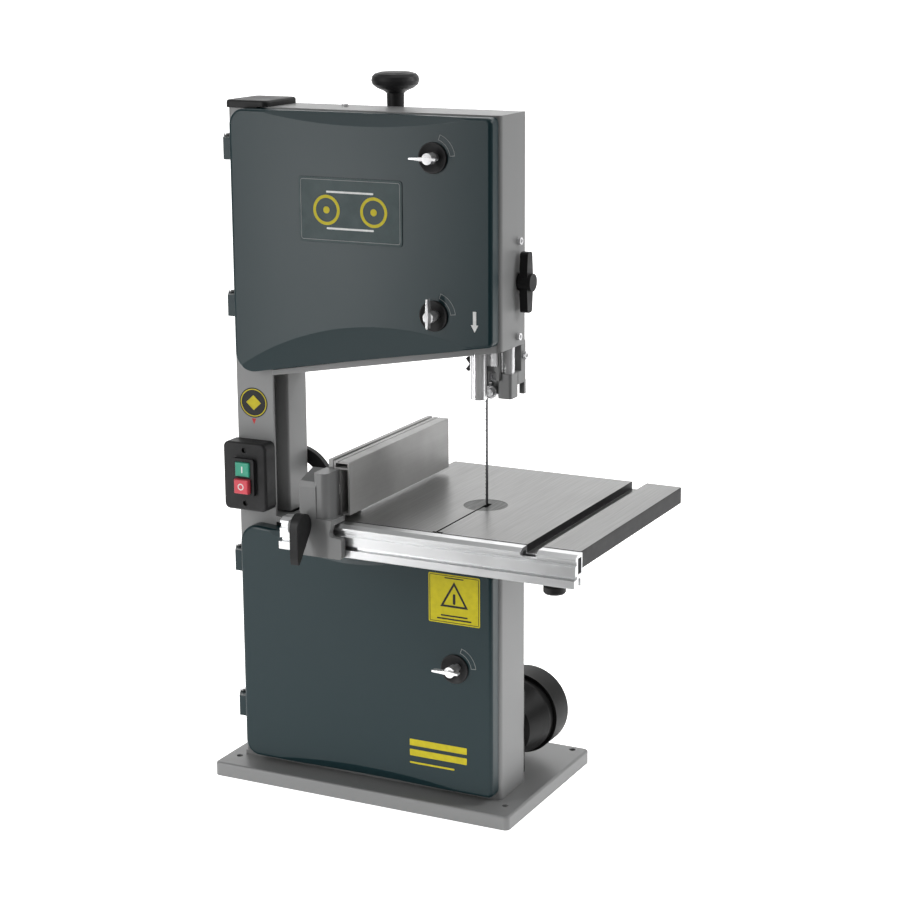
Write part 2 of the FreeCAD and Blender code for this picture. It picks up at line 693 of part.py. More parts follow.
def make_motor():
    x = MOTOR_X
    z = MOTOR_Z
    mount = box(x - 52, SIDE_X - 1, BACK_Y, BACK_Y + 5, 24, 134)
    mount = upright_y(mount, 6)
    body = turned([(-9.6, 0), (-9.6, 30), (-6, 38), (20, 43), (34, 46), (45, 46), (45, 0)], (x, 0, z), "y").fuse(mount)
    body = body.fuse(upright(box(x - 72, x - 30, 2, 40, z - 16, z + 24), 3))
    body = body.cut(rod(SHAFT_R + 0.06, (x, -20, z), (x, 60, z))).removeSplitter()
    save("motor_body", body)

    cowl = turned([(45.02, 0), (45.02, 50), (80, 50), (85, 45), (85, 0)], (x, 0, z), "y")
    cowl = rounded(cowl, 4, lambda p: abs(p.y - 80) < TINY or abs(p.y - 85) < TINY)
    cowl = cowl.cut(turned([(50, 0), (50, 47), (79, 47), (82.5, 43), (82.5, 0)], (x, 0, z), "y"))
    cowl = cowl.cut(rod(8, (x, 44, z), (x, 52, z)))
    for i in range(12):
        slot = box(x - 2, x + 2, 80, 90, z + 14, z + 36)
        cowl = cowl.cut(turn_about_y(slot, 30 * i, x, z))
    save("motor_cowl", cowl)

    fan = rod(12, (x, 58, z), (x, 70, z))
    for i in range(7):
        vane = box(x - 1, x + 1, 58, 70, z + 11, z + 40)
        fan = fan.fuse(turn_about_y(vane, 360.0 / 7 * i, x, z))
    save("motor_rotor", fuse(rod(SHAFT_R, (x, -63, z), (x, 72, z)), fan))

    grooves = [(-61, SHAFT_R), (-61, MOTOR_PULLEY_R + 1.5), (-60, MOTOR_PULLEY_R + 1.5)]
    for i in range(4):
        y = -59.5 + i * 2.4
        grooves += [(y, MOTOR_PULLEY_R), (y + 1.2, MOTOR_PULLEY_R - 1.5), (y + 2.4, MOTOR_PULLEY_R)]
    grooves += [(-49, MOTOR_PULLEY_R + 1.5), (-48, MOTOR_PULLEY_R + 1.5), (-48, 14), (-38, 14), (-38, SHAFT_R)]
    save("motor_pulley", turned(grooves, (x, 0, z), "y"))

    gland = fuse(
        rod(9, (x - 82, 20, z + 4), (x - 72 - TINY, 20, z + 4)),
        rod(6.5, (x - 90, 20, z + 4), (x - 82, 20, z + 4)),
    )
    save("cable_gland", gland.cut(rod(3.6, (x - 95, 20, z + 4), (x - 76, 20, z + 4))))


def belt_loop(r_wheel, r_motor, y0, y1):
    """The outline that wraps both pulleys at the given radii."""
    ax, az = WHEEL_X, LOWER_WHEEL_Z
    bx, bz = MOTOR_X, MOTOR_Z
    span = math.hypot(bx - ax, bz - az)
    along = math.atan2(bz - az, bx - ax)
    lean = math.acos((r_wheel - r_motor) / span)
    ends = []
    for side in (1, -1):
        a = along + side * lean
        ends.append((ax + r_wheel * math.cos(a), az + r_wheel * math.sin(a)))
        ends.append((bx + r_motor * math.cos(a), bz + r_motor * math.sin(a)))
    far_a = (ax - r_wheel * math.cos(along), az - r_wheel * math.sin(along))
    far_b = (bx + r_motor * math.cos(along), bz + r_motor * math.sin(along))

    def at(p):
        return V(p[0], y0, p[1])

    edges = [
        Part.LineSegment(at(ends[0]), at(ends[1])).toShape(),
        Part.Arc(at(ends[1]), at(far_b), at(ends[3])).toShape(),
        Part.LineSegment(at(ends[3]), at(ends[2])).toShape(),
        Part.Arc(at(ends[2]), at(far_a), at(ends[0])).toShape(),
    ]
    return Part.Face(Part.Wire(edges)).extrude(V(0, y1 - y0, 0))


def make_belt():
    a = WHEEL_PULLEY_R + BELT_GAP
    b = MOTOR_PULLEY_R + BELT_GAP
    outer = belt_loop(a + BELT_T, b + BELT_T, -59.2, -50.2)
    save("drive_belt", outer.cut(belt_loop(a, b, -60, -49)))


# ---------------------------------------------------------------- blade guides

ROLLER_X = (118.2, 134.8)


def make_guides():
    x = POST_X
    # Block inside the upper housing that the post slides through
    block = box(x - 11, SIDE_X - SHEET - TINY, BLADE_Y - 12.5, BACK_Y - SHEET - TINY, 588, 648)
    block = upright(block, 2)
    block = block.cut(rod(POST_R + 0.06, (x, BLADE_Y, 580), (x, BLADE_Y, 660)))
    block = block.cut(rod(4.06, (x + 5, BLADE_Y, 617), (SIDE_X + 5, BLADE_Y, 617)))
    save("guide_block", block)

    post = rod(POST_R, (x, BLADE_Y, POST_BOTTOM), (x, BLADE_Y, POST_TOP))
    post = rounded(post, 1, lambda p: abs(p.z - POST_TOP) < TINY)
    save("guide_post", post)

    # Casting at the foot of the post, with arms behind the blade
    head = box(x - 8.5, x + 8.5, -39, -19, 484, 512.5)
    head = upright(head, 3)
    bridge = box(x - 6, x + 8.5, -20, -8, 498, 512.5)
    rear = box(x + 0.5, x + 8.5, -12, 0, 498, 546)
    leg = box(x + 2.5, x + 8.5, -4, 1, 484, 500)
    back_plate = box(126, x - 5, -19.5, -13, 498, 536)
    upper_arm = box(112, x - 5, -19.5, -13, 508, 524)
    lower_arm = box(111, x - 5, -19.5, -13, 482, 499)
    post_arm = box(x - 8.5, x - 4.5, -43, -38.5, 505, 548)
    face_plate = box(x - 18.5, x - 4.5, -43, -40, 515, 548)
    shape = fuse(head, bridge, rear, leg, back_plate, upper_arm, lower_arm, post_arm, face_plate)
    # Window in the back plate for the thrust roller
    shape = shape.cut(box(BLADE_X - 3.4, BLADE_X + 3.4, -21, -12, 495.6, 511.2))
    shape = shape.cut(rod(2.0, (118, -15.4, 503.4), (135, -15.4, 503.4)))
    shape = shape.cut(rod(POST_R, (x, BLADE_Y, POST_BOTTOM), (x, BLADE_Y, 520)))
    for sx in ROLLER_X:
        shape = shape.cut(rod(2.5, (sx, -25, 489), (sx, -10, 489)))
    shape = shape.cut(rod(2.5, (105, -16.2, 516), (122, -16.2, 516)))
    save("guide_bracket", shape)

    # Studs that carry the rollers
    studs = []
    for sx in ROLLER_X:
        stud = fuse(
            rod(2.5, (sx, -34.5, 489), (sx, -13, 489)),
            rod(4.5, (sx, -36, 489), (sx, -34, 489)),
            rod(4.0, (sx, -24.4, 489), (sx, -19.51, 489)),
        )
        studs.append(stud)
    studs.append(rod(2.0, (118, -15.4, 503.4), (135, -15.4, 503.4)))
    for name, sx in zip(("left", "right"), ROLLER_X):
        roller = tube(7.6, 2.56, (sx, -33.6, 489), (sx, -24.8, 489))
        roller = roller.cut(tube(6.2, 4.2, (sx, -34, 489), (sx, -33, 489)))
        save("side_roller_" + name, roller)

    # Thrust roller behind the blade's back edge, on a pin across the window
    tx = BLADE_X
    roller = tube(7.0, 2.06, (tx - 3, -15.4, 503.4), (tx + 3, -15.4, 503.4))
    save("thrust_roller", roller)

    # Long cap screw beside the blade and clamp screw on the casting's side
    screws = []
    long_cap = rod(5.1, (x - 13.9, -36, 507.5), (x - 13.9, -19.5 - TINY, 507.5))
    screws.append(long_cap.cut(rod(3.0, (x - 13.9, -37, 507.5), (x - 13.9, -33, 507.5))))
    side = rod(4.5, (x + 8.51, -5, 529), (x + 12.5, -5, 529))
    screws.append(side.cut(rod(2.2, (x + 10.5, -5, 529), (x + 13, -5, 529))))
    save("guide_fasteners", *(screws + studs))

    # Half-round guard in front of the cutting run
    gx = BLADE_X + 1.5
    gy = -50.0
    shell = tube(9.5, 8.2, (gx, gy, 484), (gx, gy, 690))
    shell = shell.cut(box(gx - 5.5, gx + 5.5, gy + 2, gy + 12, 470, 700))
    tab = box(gx + 6.5, x - 6, -46.5, -43.01, 522, 540)
    shell = fuse(shell, tab)
    shell = shell.cut(rod(8.2, (gx, gy, 470), (gx, gy, 700)))
    save("blade_guard", shell)

    # Thumb screw at the left end of the upper arm
    stem = rod(2.5, (107, -16.2, 516), (119, -16.2, 516))
    wing = [(108, 510), (108, 522), (99, 524.5), (96, 522), (101, 516), (96, 510), (99, 507.5)]
    wings = prism_y(wing, -18.2, -14.2)
    collar = rod(4.5, (105, -16.2, 516), (111, -16.2, 516))
    save("thumb_screw", fuse(stem, wings, collar))

    # Lock knob on the side of the upper housing
    z = 617
    y = BLADE_Y
    screw = rod(4.0, (x + POST_R + 0.4, y, z), (SIDE_X + 8, y, z))
    hub = rod(10, (SIDE_X + 0.5, y, z), (SIDE_X + 17, y, z))
    arms = [(-6, -34), (6, -34), (8, -10), (8, 10), (6, 34), (-6, 34), (-8, 10), (-8, -10)]
    bar = prism_x([(y + a, z + b) for a, b in arms], SIDE_X + 3.5, SIDE_X + 13, [4, 4, 3, 3, 4, 4, 3, 3])
    save("guide_lock_knob", fuse(screw, hub, bar))


# ---------------------------------------------------------------- table and trunnions

def arc_segment(r_in, r_out, a0, a1, y0, y1):
    """Part of a ring round the table's tilting line."""
    cx = BLADE_X
    cz = TABLE_TOP
    mid = (a0 + a1) / 2

    def at(r, a):
        p = polar(r, a, cx, cz)
        return V(p[0], y0, p[1])

    edges = [
        Part.Arc(at(r_out, a0), at(r_out, mid), at(r_out, a1)).toShape(),
        Part.LineSegment(at(r_out, a1), at(r_in, a1)).toShape(),
        Part.Arc(at(r_in, a1), at(r_in, mid), at(r_in, a0)).toShape(),
        Part.LineSegment(at(r_in, a0), at(r_out, a0)).toShape(),
    ]
    return Part.Face(Part.Wire(edges)).extrude(V(0, y1 - y0, 0))


FRONT_ARC_Y = (-74.0, -62.0)
REAR_ARC_Y = (2.0, 12.0)
LUG_Y = (12.3, 18.0)
LOCK_R = 38.0
LOCK_ANGLE = -116.0
FOOT_TOP = 303.4


def make_table():
    x0, x1 = TABLE_X
    y0, y1 = TABLE_Y
    top = TABLE_TOP
    slab = box(x0, x1, y0, y1, top - TABLE_T, top)
    slab = upright(slab, 3)
    slab = rounded(slab, 0.8, lambda p: abs(p.z - top) < TINY)
    # Hollow underside with a thick rim and two cross ribs, solid round the mitre slot
    rim = 10.0
    below = top - TABLE_T - 1
    pocket = box(x0 + rim, x1 - rim, y0 + rim, y1 - rim, below, top - TABLE_SKIN)
    slot_x0, slot_x1 = SLOT_X
    pocket = pocket.cut(box(slot_x0 - 6, x1, y0, y1, below - 1, top))
    for y in (-110.0, 55.0):
        pocket = pocket.cut(box(x0, x1, y - 3, y + 3, below - 1, top))
    pocket = pocket.cut(rod(INSERT_R + 8, (BLADE_X, BLADE_Y, below - 1), (BLADE_X, BLADE_Y, top)))
    table = slab.cut(pocket)
    # Mitre slot, kerf slot, insert seat and blade opening
    table = table.cut(box(slot_x0, slot_x1, y0 - 5, y1 + 5, top - SLOT_DEPTH, top + 1))
    table = table.cut(box(BLADE_X - 1.2, BLADE_X + 1.2, y0 - 5, BLADE_Y, below - 1, top + 1))
    table = table.cut(box(122, 134.7, y0 - 5, y0 + 4, top - 5, top + 1))
    seat = rod(INSERT_R + 0.1, (BLADE_X, BLADE_Y, top - INSERT_T), (BLADE_X, BLADE_Y, top + 1))
    hole = cone(30, 21, (BLADE_X, BLADE_Y, below), (BLADE_X, BLADE_Y, top - INSERT_T + 0.5))
    table = table.cut(seat).cut(hole)
    bracket = box(248, 277, y0 + 0.5, -122, top - TABLE_T - 15, top - TABLE_T + 2)
    bracket = bracket.cut(rod(4.06, (262.5, -140, 300), (262.5, -140, 335)))
    table = table.fuse(bracket).cut(rod(4.06, (262.5, -140, 300), (262.5, -140, 335)))
    save("table", table)

    insert = rod(INSERT_R, (BLADE_X, BLADE_Y, top - INSERT_T), (BLADE_X, BLADE_Y, top - 0.2))
    insert = insert.cut(box(BLADE_X - 1.6, BLADE_X + 4.6, -37.5, -20.5, top - 10, top + 1))
    insert = insert.cut(box(BLADE_X - 1.2, BLADE_X + 1.2, -60, -37, top - 10, top + 1))
    save("table_insert", insert)

    # Upper trunnions: two segments bolted under the table
    under = top - TABLE_T
    segments = []
    for name, (a, b) in (("front", FRONT_ARC_Y), ("rear", REAR_ARC_Y)):
        seg = arc_segment(28, TRUNNION_R, -132, -54, a, b)
        seg = seg.fuse(box(BLADE_X - 36, BLADE_X + 36, a, b, under - 12, under - TINY))
        pad_x0 = BLADE_X - 42
        pad_x1 = BLADE_X + 40
        pad_y0 = a if name == "rear" else a - 6
        pad_y1 = b + 6 if name == "rear" else b
        seg = seg.fuse(box(pad_x0, pad_x1, pad_y0, pad_y1, under - 5, under - TINY))
        seg = seg.cut(box(0, 300, -200, 200, under, under + 60))
        if name == "rear":
            seg = seg.cut(
                arc_segment(LOCK_R - 4.6, LOCK_R + 4.6, LOCK_ANGLE - 7.5, LOCK_ANGLE + 52.5, a - 1, b + 1)
            )
        if name == "front":
            seg = seg.cut(rod(30, (BLADE_X, BLADE_Y, 280), (BLADE_X, BLADE_Y, 340)))
        segments.append(seg.removeSplitter())
    save("table_trunnions", *segments)

    # Cradle on the lower housing: two curved beds on a common foot
    bed_r = TRUNNION_R + 0.35
    left = 98.0
    right = 149.0
    bed_left = 76.0
    bed_right = BLADE_X + 10
    foot = prism_y(
        [
            (left, lower_top(left) + 0.02),
            (right, lower_top(right) + 0.02),
            (right, FOOT_TOP),
            (left, FOOT_TOP),
        ],
        -74,
        LUG_Y[1],
    )
    beds = []
    for a, b in (FRONT_ARC_Y, REAR_ARC_Y):
        block = prism_y(
            [
                (bed_left, lower_top(bed_left) + 0.5),
                (left, lower_top(left) + 0.02),
                (bed_right, lower_top(bed_right) + 0.02),
                (bed_right, FOOT_TOP + 1.5),
                (bed_left, 326),
            ],
            a,
            b,
        )
        beds.append(block)
    cradle = fuse(foot, *beds)
    cradle = cradle.cut(rod(bed_r, (BLADE_X, -80, TABLE_TOP), (BLADE_X, LUG_Y[0], TABLE_TOP)))
    bx, bz = polar(LOCK_R, LOCK_ANGLE, BLADE_X, TABLE_TOP)
    lug = prism_y(
        [(bx - 11, FOOT_TOP - 5), (bx + 16, FOOT_TOP - 5), (bx + 7, bz + 6), (bx - 8, bz + 6)],
        LUG_Y[0],
        LUG_Y[1],
        [0, 0, 5, 5],
    )
    cradle = cradle.fuse(lug)
    cradle = cradle.cut(rod(4.06, (bx, 0, bz), (bx, 30, bz)))
    cradle = cradle.cut(box(112, 141, -48, -10, 260, 330))
    save("trunnion_cradle", cradle.removeSplitter())

    # Tilt lock: a bolt through the rear segment's slot, with a star knob behind
    bolt = rod(4.0, (bx, REAR_ARC_Y[0] - 1.0, bz), (bx, 30, bz))
    bolt_head = rod(7.0, (bx, REAR_ARC_Y[0] - 5.5, bz), (bx, REAR_ARC_Y[0] - 0.6, bz))
    knob = turned([(18.4, 0), (18.4, 8), (22, 14.4), (34, 14.4), (36, 12.5), (36, 0)], (bx, 0, bz), "y")
    for i in range(5):
        hx, hz = polar(18, 72 * i + 36, bx, bz)
        knob = knob.cut(rod(5, (hx, 21, hz), (hx, 40, hz)))
    save("tilt_lock_knob", fuse(bolt, bolt_head, knob))


def make_rail_and_fence():
    x0, x1 = RAIL_X
    z0, z1 = RAIL_Z
    back = TABLE_Y[0] - 0.05
    front = RAIL_FRONT
    # Section from the foot up: protruding strip, groove, broad face, recess and sloping lip
    strip = front - 3
    section = [
        (back, z0),
        (strip + 1, z0),
        (strip, z0 + 1),
        (strip, z0 + 9),
        (front + 5, z0 + 9.5),
        (front + 5, z0 + 12.5),
        (front, z0 + 13),
        (front, z1 - 12),
        (front + 3.5, z1 - 11),
        (front + 3.5, z1 - 7),
        (front + 1, z1 - 6),
        (front + 1, z1 - 3.5),
        (front + 7, z1),
        (back, z1),
    ]
    rail = prism_x(section, x0, x1)
    # Hollow core and the slot in its underside
    rail = rail.cut(box(x0 - 1, x1 + 1, front + 7.5, back - 2.5, z0 + 14, z1 - 4))
    rail = rail.cut(box(x0 - 1, x1 + 1, front + 9, back - 5, z0 - 1, z0 + 9))
    rail = rail.cut(box(SLOT_X[0], SLOT_X[1], front - 1, back + 1, TABLE_TOP - SLOT_DEPTH, z1 + 1))
    save("front_rail", rail)

    # Clamp knob under the right end of the rail
    knob = turned(
        [(299, 0), (299, 11), (301, 12.5), (307, 12.5), (309, 11), (309, 6), (316, 6), (316, 0)],
        (262.5, -140, 0),
        "z",
    )
    stud = rod(4.0, (262.5, -140, 310), (262.5, -140, 335))
    save("rail_clamp_knob", fuse(knob, stud))

    # Fence: an extruded box section with a T-slot in its left side
    fx0, fx1 = FENCE_X
    fy0, fy1 = FENCE_Y
    fz0, fz1 = FENCE_Z
    fence = box(fx0, fx1, fy0, fy1, fz0, fz1)
    fence = fence.makeFillet(1.0, edges_where(fence, lambda p: abs(p.z - fz1) < TINY and abs(p.x - fx1) < TINY))
    wall = 2.2
    fence = fence.cut(box(fx0 + 9, fx1 - wall, fy0 - 1, fy1 + 1, fz0 + wall, fz1 - 9))
    fence = fence.cut(box(fx0 + wall, fx1 - wall, fy0 - 1, fy1 + 1, fz1 - 7, fz1 - wall))
    # T-slot, its throat, and the groove along the top
    fence = fence.cut(box(fx0 + wall, fx0 + 7, fy0 - 1, fy1 + 1, fz0 + 14, fz0 + 38))
    fence = fence.cut(box(fx0 - 1, fx0 + wall + 1, fy0 - 1, fy1 + 1, fz0 + 21, fz0 + 31))
    fence = fence.cut(box(fx0 + 5, fx0 + 6.4, fy0 - 1, fy1 + 1, fz1 - 1.4, fz1 + 1))
    # Stiffening bar along the left side, joined by a low web so that a groove stays open above it
    bar = box(fx0 - 8.4, fx0 - 2.6, fy0 + 3, fy1, fz1 - 22, fz1 + 1)
    bar = rounded(bar, 0.8, lambda p: abs(p.z - fz1 - 1) < TINY)
    web = box(fx0 - 3, fx0 + 1, fy0 + 3, fy1, fz1 - 20, fz1 - 14)
    save("fence", fuse(fence, bar, web).removeSplitter())

    # Carrier casting: front plate, saddle over the rail, ear, post and arm beside the fence
    plate_front = front - 12.5
    plate_back = front - 3.6
    left = -27.0
    plate = prism_y(
        [(left, z0), (25.5, z0), (25.5, 342), (9, 343), (13, 356), (13, 362), (left, 362)],
        plate_front,
        plate_back,
        [2, 3, 3, 4, 3, 0, 3],
    )
    saddle = box(left, 13, plate_front + 3, TABLE_Y[0], TABLE_TOP + 0.5, 361.4)
    ear = prism_x(
        [
            (plate_front, 357),
            (plate_front, 398),
            (plate_front + 3, 404),
            (fy0 - 0.4, 413),
            (fy0 - 0.4, 357),
        ],
        left,
        -6,
    )
    post = prism_z(
        [(-10, plate_front + 1), (7, plate_front + 1), (7, fy0 - 0.4), (-10, fy0 - 0.4)],
        342,
        414,
        [5, 7, 0, 0],
    )
    post = post.cut(box(-20, 20, plate_back, 0, 340, TABLE_TOP + 0.5))
    arm = box(left, fx0 - 0.02, fy0 - 4, -96, TABLE_TOP + 0.6, 378)
    arm = rounded(arm, 3, lambda p: abs(p.z - 378) < TINY and p.x < left + 1)
    # Lug for the clamp lever's pivot pin
    hub_y = plate_front - 0.6 - LEVER_R
    hub_z = 355.5
    lug = prism_x(
        [(plate_front + 1, hub_z - 9), (plate_front + 1, hub_z + 9), (hub_y - 7, hub_z + 7), (hub_y - 7, hub_z - 7)],
        left - 2,
        left + 4.5,
        [0, 0, 5, 5],
    )
    carrier = fuse(plate, saddle, post, ear, arm, lug)
    carrier = carrier.cut(rod(3.06, (left - 5, hub_y, hub_z), (left + 6, hub_y, hub_z)))
    save("fence_carrier", carrier.removeSplitter())

    # Clamp lever: a cam hub with a handle that hangs down in front and tapers to a tip
    lever_x = (left + 5, left + 15)
    hub = rod(LEVER_R, (lever_x[0], hub_y, hub_z), (lever_x[1], hub_y, hub_z))
    handle = prism_x(
        [
            (hub_y - LEVER_R, hub_z),
            (hub_y - LEVER_R, hub_z - 33),
            (hub_y - LEVER_R + 1.5, hub_z - 40),
            (hub_y - LEVER_R + 4, hub_z - 40),
            (hub_y + 12, hub_z - 9.5),
            (hub_y + 6, hub_z),
        ],
        lever_x[0],
        lever_x[1],
    )
    pin = rod(3.0, (left - 2, hub_y, hub_z), (lever_x[0] + 1, hub_y, hub_z))
    save("fence_lever", fuse(hub, handle, pin).removeSplitter())


# ---------------------------------------------------------------- switch and small parts

def make_switch():
    x0, x1 = -182.5, -124.5
    z0, z1 = 333.0, 415.0
    y1 = FRONT_Y - 0.02
    y0 = y1 - 22
    shape = prism_y(
        [(x0, z0), (x1, z0), (x1, z1), (x0, z1)],
        y0,
        y1,
        [7, 7, 7, 7],
    )
    shape = rounded(shape, 3, lambda p: abs(p.y - y0) < TINY)
    frame = prism_y([(-167, 352), (-138, 352), (-138, 397), (-167, 397)], y0 - 5, y0 + 2, [3, 3, 3, 3])
    shape = shape.fuse(frame)
    for low in (355.5, 375.5):
        well = box(-162.3, -142.7, y0 - 6, y0 + 8, low, low + 17.6)
        shape = shape.cut(well)
    for z in (342, 406):
        shape = shape.cut(rod(3.2, (-153.5, y0 - 1, z), (-153.5, y0 + 3, z)))
    save("switch_box", shape.removeSplitter())
    for name, low, out in (("red_button", 355.5, 11.0), ("green_button", 375.5, 7.5)):
        button = box(-162.0, -143.0, y0 - out, y0 + 3.0, low + 0.3, low + 17.3)
        button = rounded(button, 1.5, lambda p: abs(p.y - y0 + out) < TINY)
        stem = rod(4, (-152.5, y0 + 2.5, low + 8.8), (-152.5, y0 + 3.4, low + 8.8))
        save(name, fuse(button, stem))


def make_small_parts():
    # Screws on the housing's side and top
    side = []
    for y, z in ((-31.8, 663), (-34, 556)):
        head = rod(4.2, (SIDE_X + TINY, y, z), (SIDE_X + 4, y, z))
        side.append(head.cut(rod(2.1, (SIDE_X + 1.5, y, z), (SIDE_X + 5, y, z))))
    side.append(rod(3.8, (-47, -34.4, TOP_Z + TINY), (-47, -34.4, TOP_Z + 2.6)))
    save("housing_screws", *side)

    # Dust port on the back of the lower housing
    px, pz = -62.0, 82.0
    port = prism_y([(px - 55, pz - 55), (px + 55, pz - 55), (px + 55, pz + 55), (px - 55, pz + 55)],
                   BACK_Y + TINY, BACK_Y + 4, [8, 8, 8, 8])
    port = port.fuse(rod(50, (px, BACK_Y + 3, pz), (px, 32, pz)))
    port = port.cut(rod(45, (px, -20, pz), (px, 40, pz)))
    save("dust_port", port.removeSplitter())

    # Push stick on the back of the column, held by two clips
    y0, y1 = STICK_Y
    cx = STICK_X
    cz = STICK_Z
    angle = math.radians(22)
    tip = (cx + 50 * math.cos(angle), cz + 50 * math.sin(angle))
    inner_tip = (cx + 34 * math.cos(angle), cz + 34 * math.sin(angle))

    def at(p):
        return V(p[0], y0, p[1])

    edges = [
        Part.Arc(at(tip), at((cx + 20, cz + math.sqrt(2100))), at((cx, cz + 50))).toShape(),
        Part.LineSegment(at((cx, cz + 50)), at((cx - 28, cz + 44))).toShape(),
        Part.LineSegment(at((cx - 28, cz + 44)), at((cx - 32, cz - 180))).toShape(),
        Part.LineSegment(at((cx - 32, cz - 180)), at((cx - 20, cz - 172))).toShape(),
        Part.LineSegment(at((cx - 20, cz - 172)), at((cx - 12, cz - 184))).toShape(),
        Part.LineSegment(at((cx - 12, cz - 184)), at((cx - 6, cz + 26))).toShape(),
        Part.LineSegment(at((cx - 6, cz + 26)), at((cx, cz + 34))).toShape(),
        Part.Arc(at((cx, cz + 34)), at((cx + 17, cz + math.sqrt(34 ** 2 - 17 ** 2))), at(inner_tip)).toShape(),
        Part.LineSegment(at(inner_tip), at(tip)).toShape(),
    ]
    stick = Part.Face(Part.Wire(edges)).extrude(V(0, y1 - y0, 0))
    save("push_stick", stick)


make_base()
make_column()
make_upper_housing()
make_lower_housing()
make_return_guard()
make_doors()
make_hinges()
make_latches()
make_wheels()
make_blade()
make_tension()
make_motor()
make_belt()
make_guides()
make_table()
make_rail_and_fence()
make_switch()
make_small_parts()
print("parts:", len(os.listdir("parts")))
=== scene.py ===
# Looks of the bench band saw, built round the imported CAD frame. Units are metres.
import json
import math

import bmesh
import bpy
from mathutils import Matrix, Vector


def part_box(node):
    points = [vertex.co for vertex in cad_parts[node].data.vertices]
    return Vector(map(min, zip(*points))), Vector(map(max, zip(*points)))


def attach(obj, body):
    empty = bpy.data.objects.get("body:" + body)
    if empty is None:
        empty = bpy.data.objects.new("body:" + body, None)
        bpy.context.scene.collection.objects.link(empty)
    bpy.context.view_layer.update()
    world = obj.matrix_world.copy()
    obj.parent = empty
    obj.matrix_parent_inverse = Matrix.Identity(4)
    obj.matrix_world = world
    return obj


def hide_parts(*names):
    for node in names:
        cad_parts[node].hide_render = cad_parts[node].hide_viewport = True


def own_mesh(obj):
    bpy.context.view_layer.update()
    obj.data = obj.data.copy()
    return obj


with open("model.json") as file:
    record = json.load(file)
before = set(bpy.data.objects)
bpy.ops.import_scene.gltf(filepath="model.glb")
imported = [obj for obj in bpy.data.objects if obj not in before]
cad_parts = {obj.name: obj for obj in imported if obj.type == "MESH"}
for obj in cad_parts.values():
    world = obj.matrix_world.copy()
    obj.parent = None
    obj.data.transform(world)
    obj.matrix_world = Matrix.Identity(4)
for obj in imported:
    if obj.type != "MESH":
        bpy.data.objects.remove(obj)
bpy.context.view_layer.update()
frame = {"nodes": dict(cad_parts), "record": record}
nodes = frame["nodes"]

MM = 0.001


# ------------------------------------------------------------------ node helpers

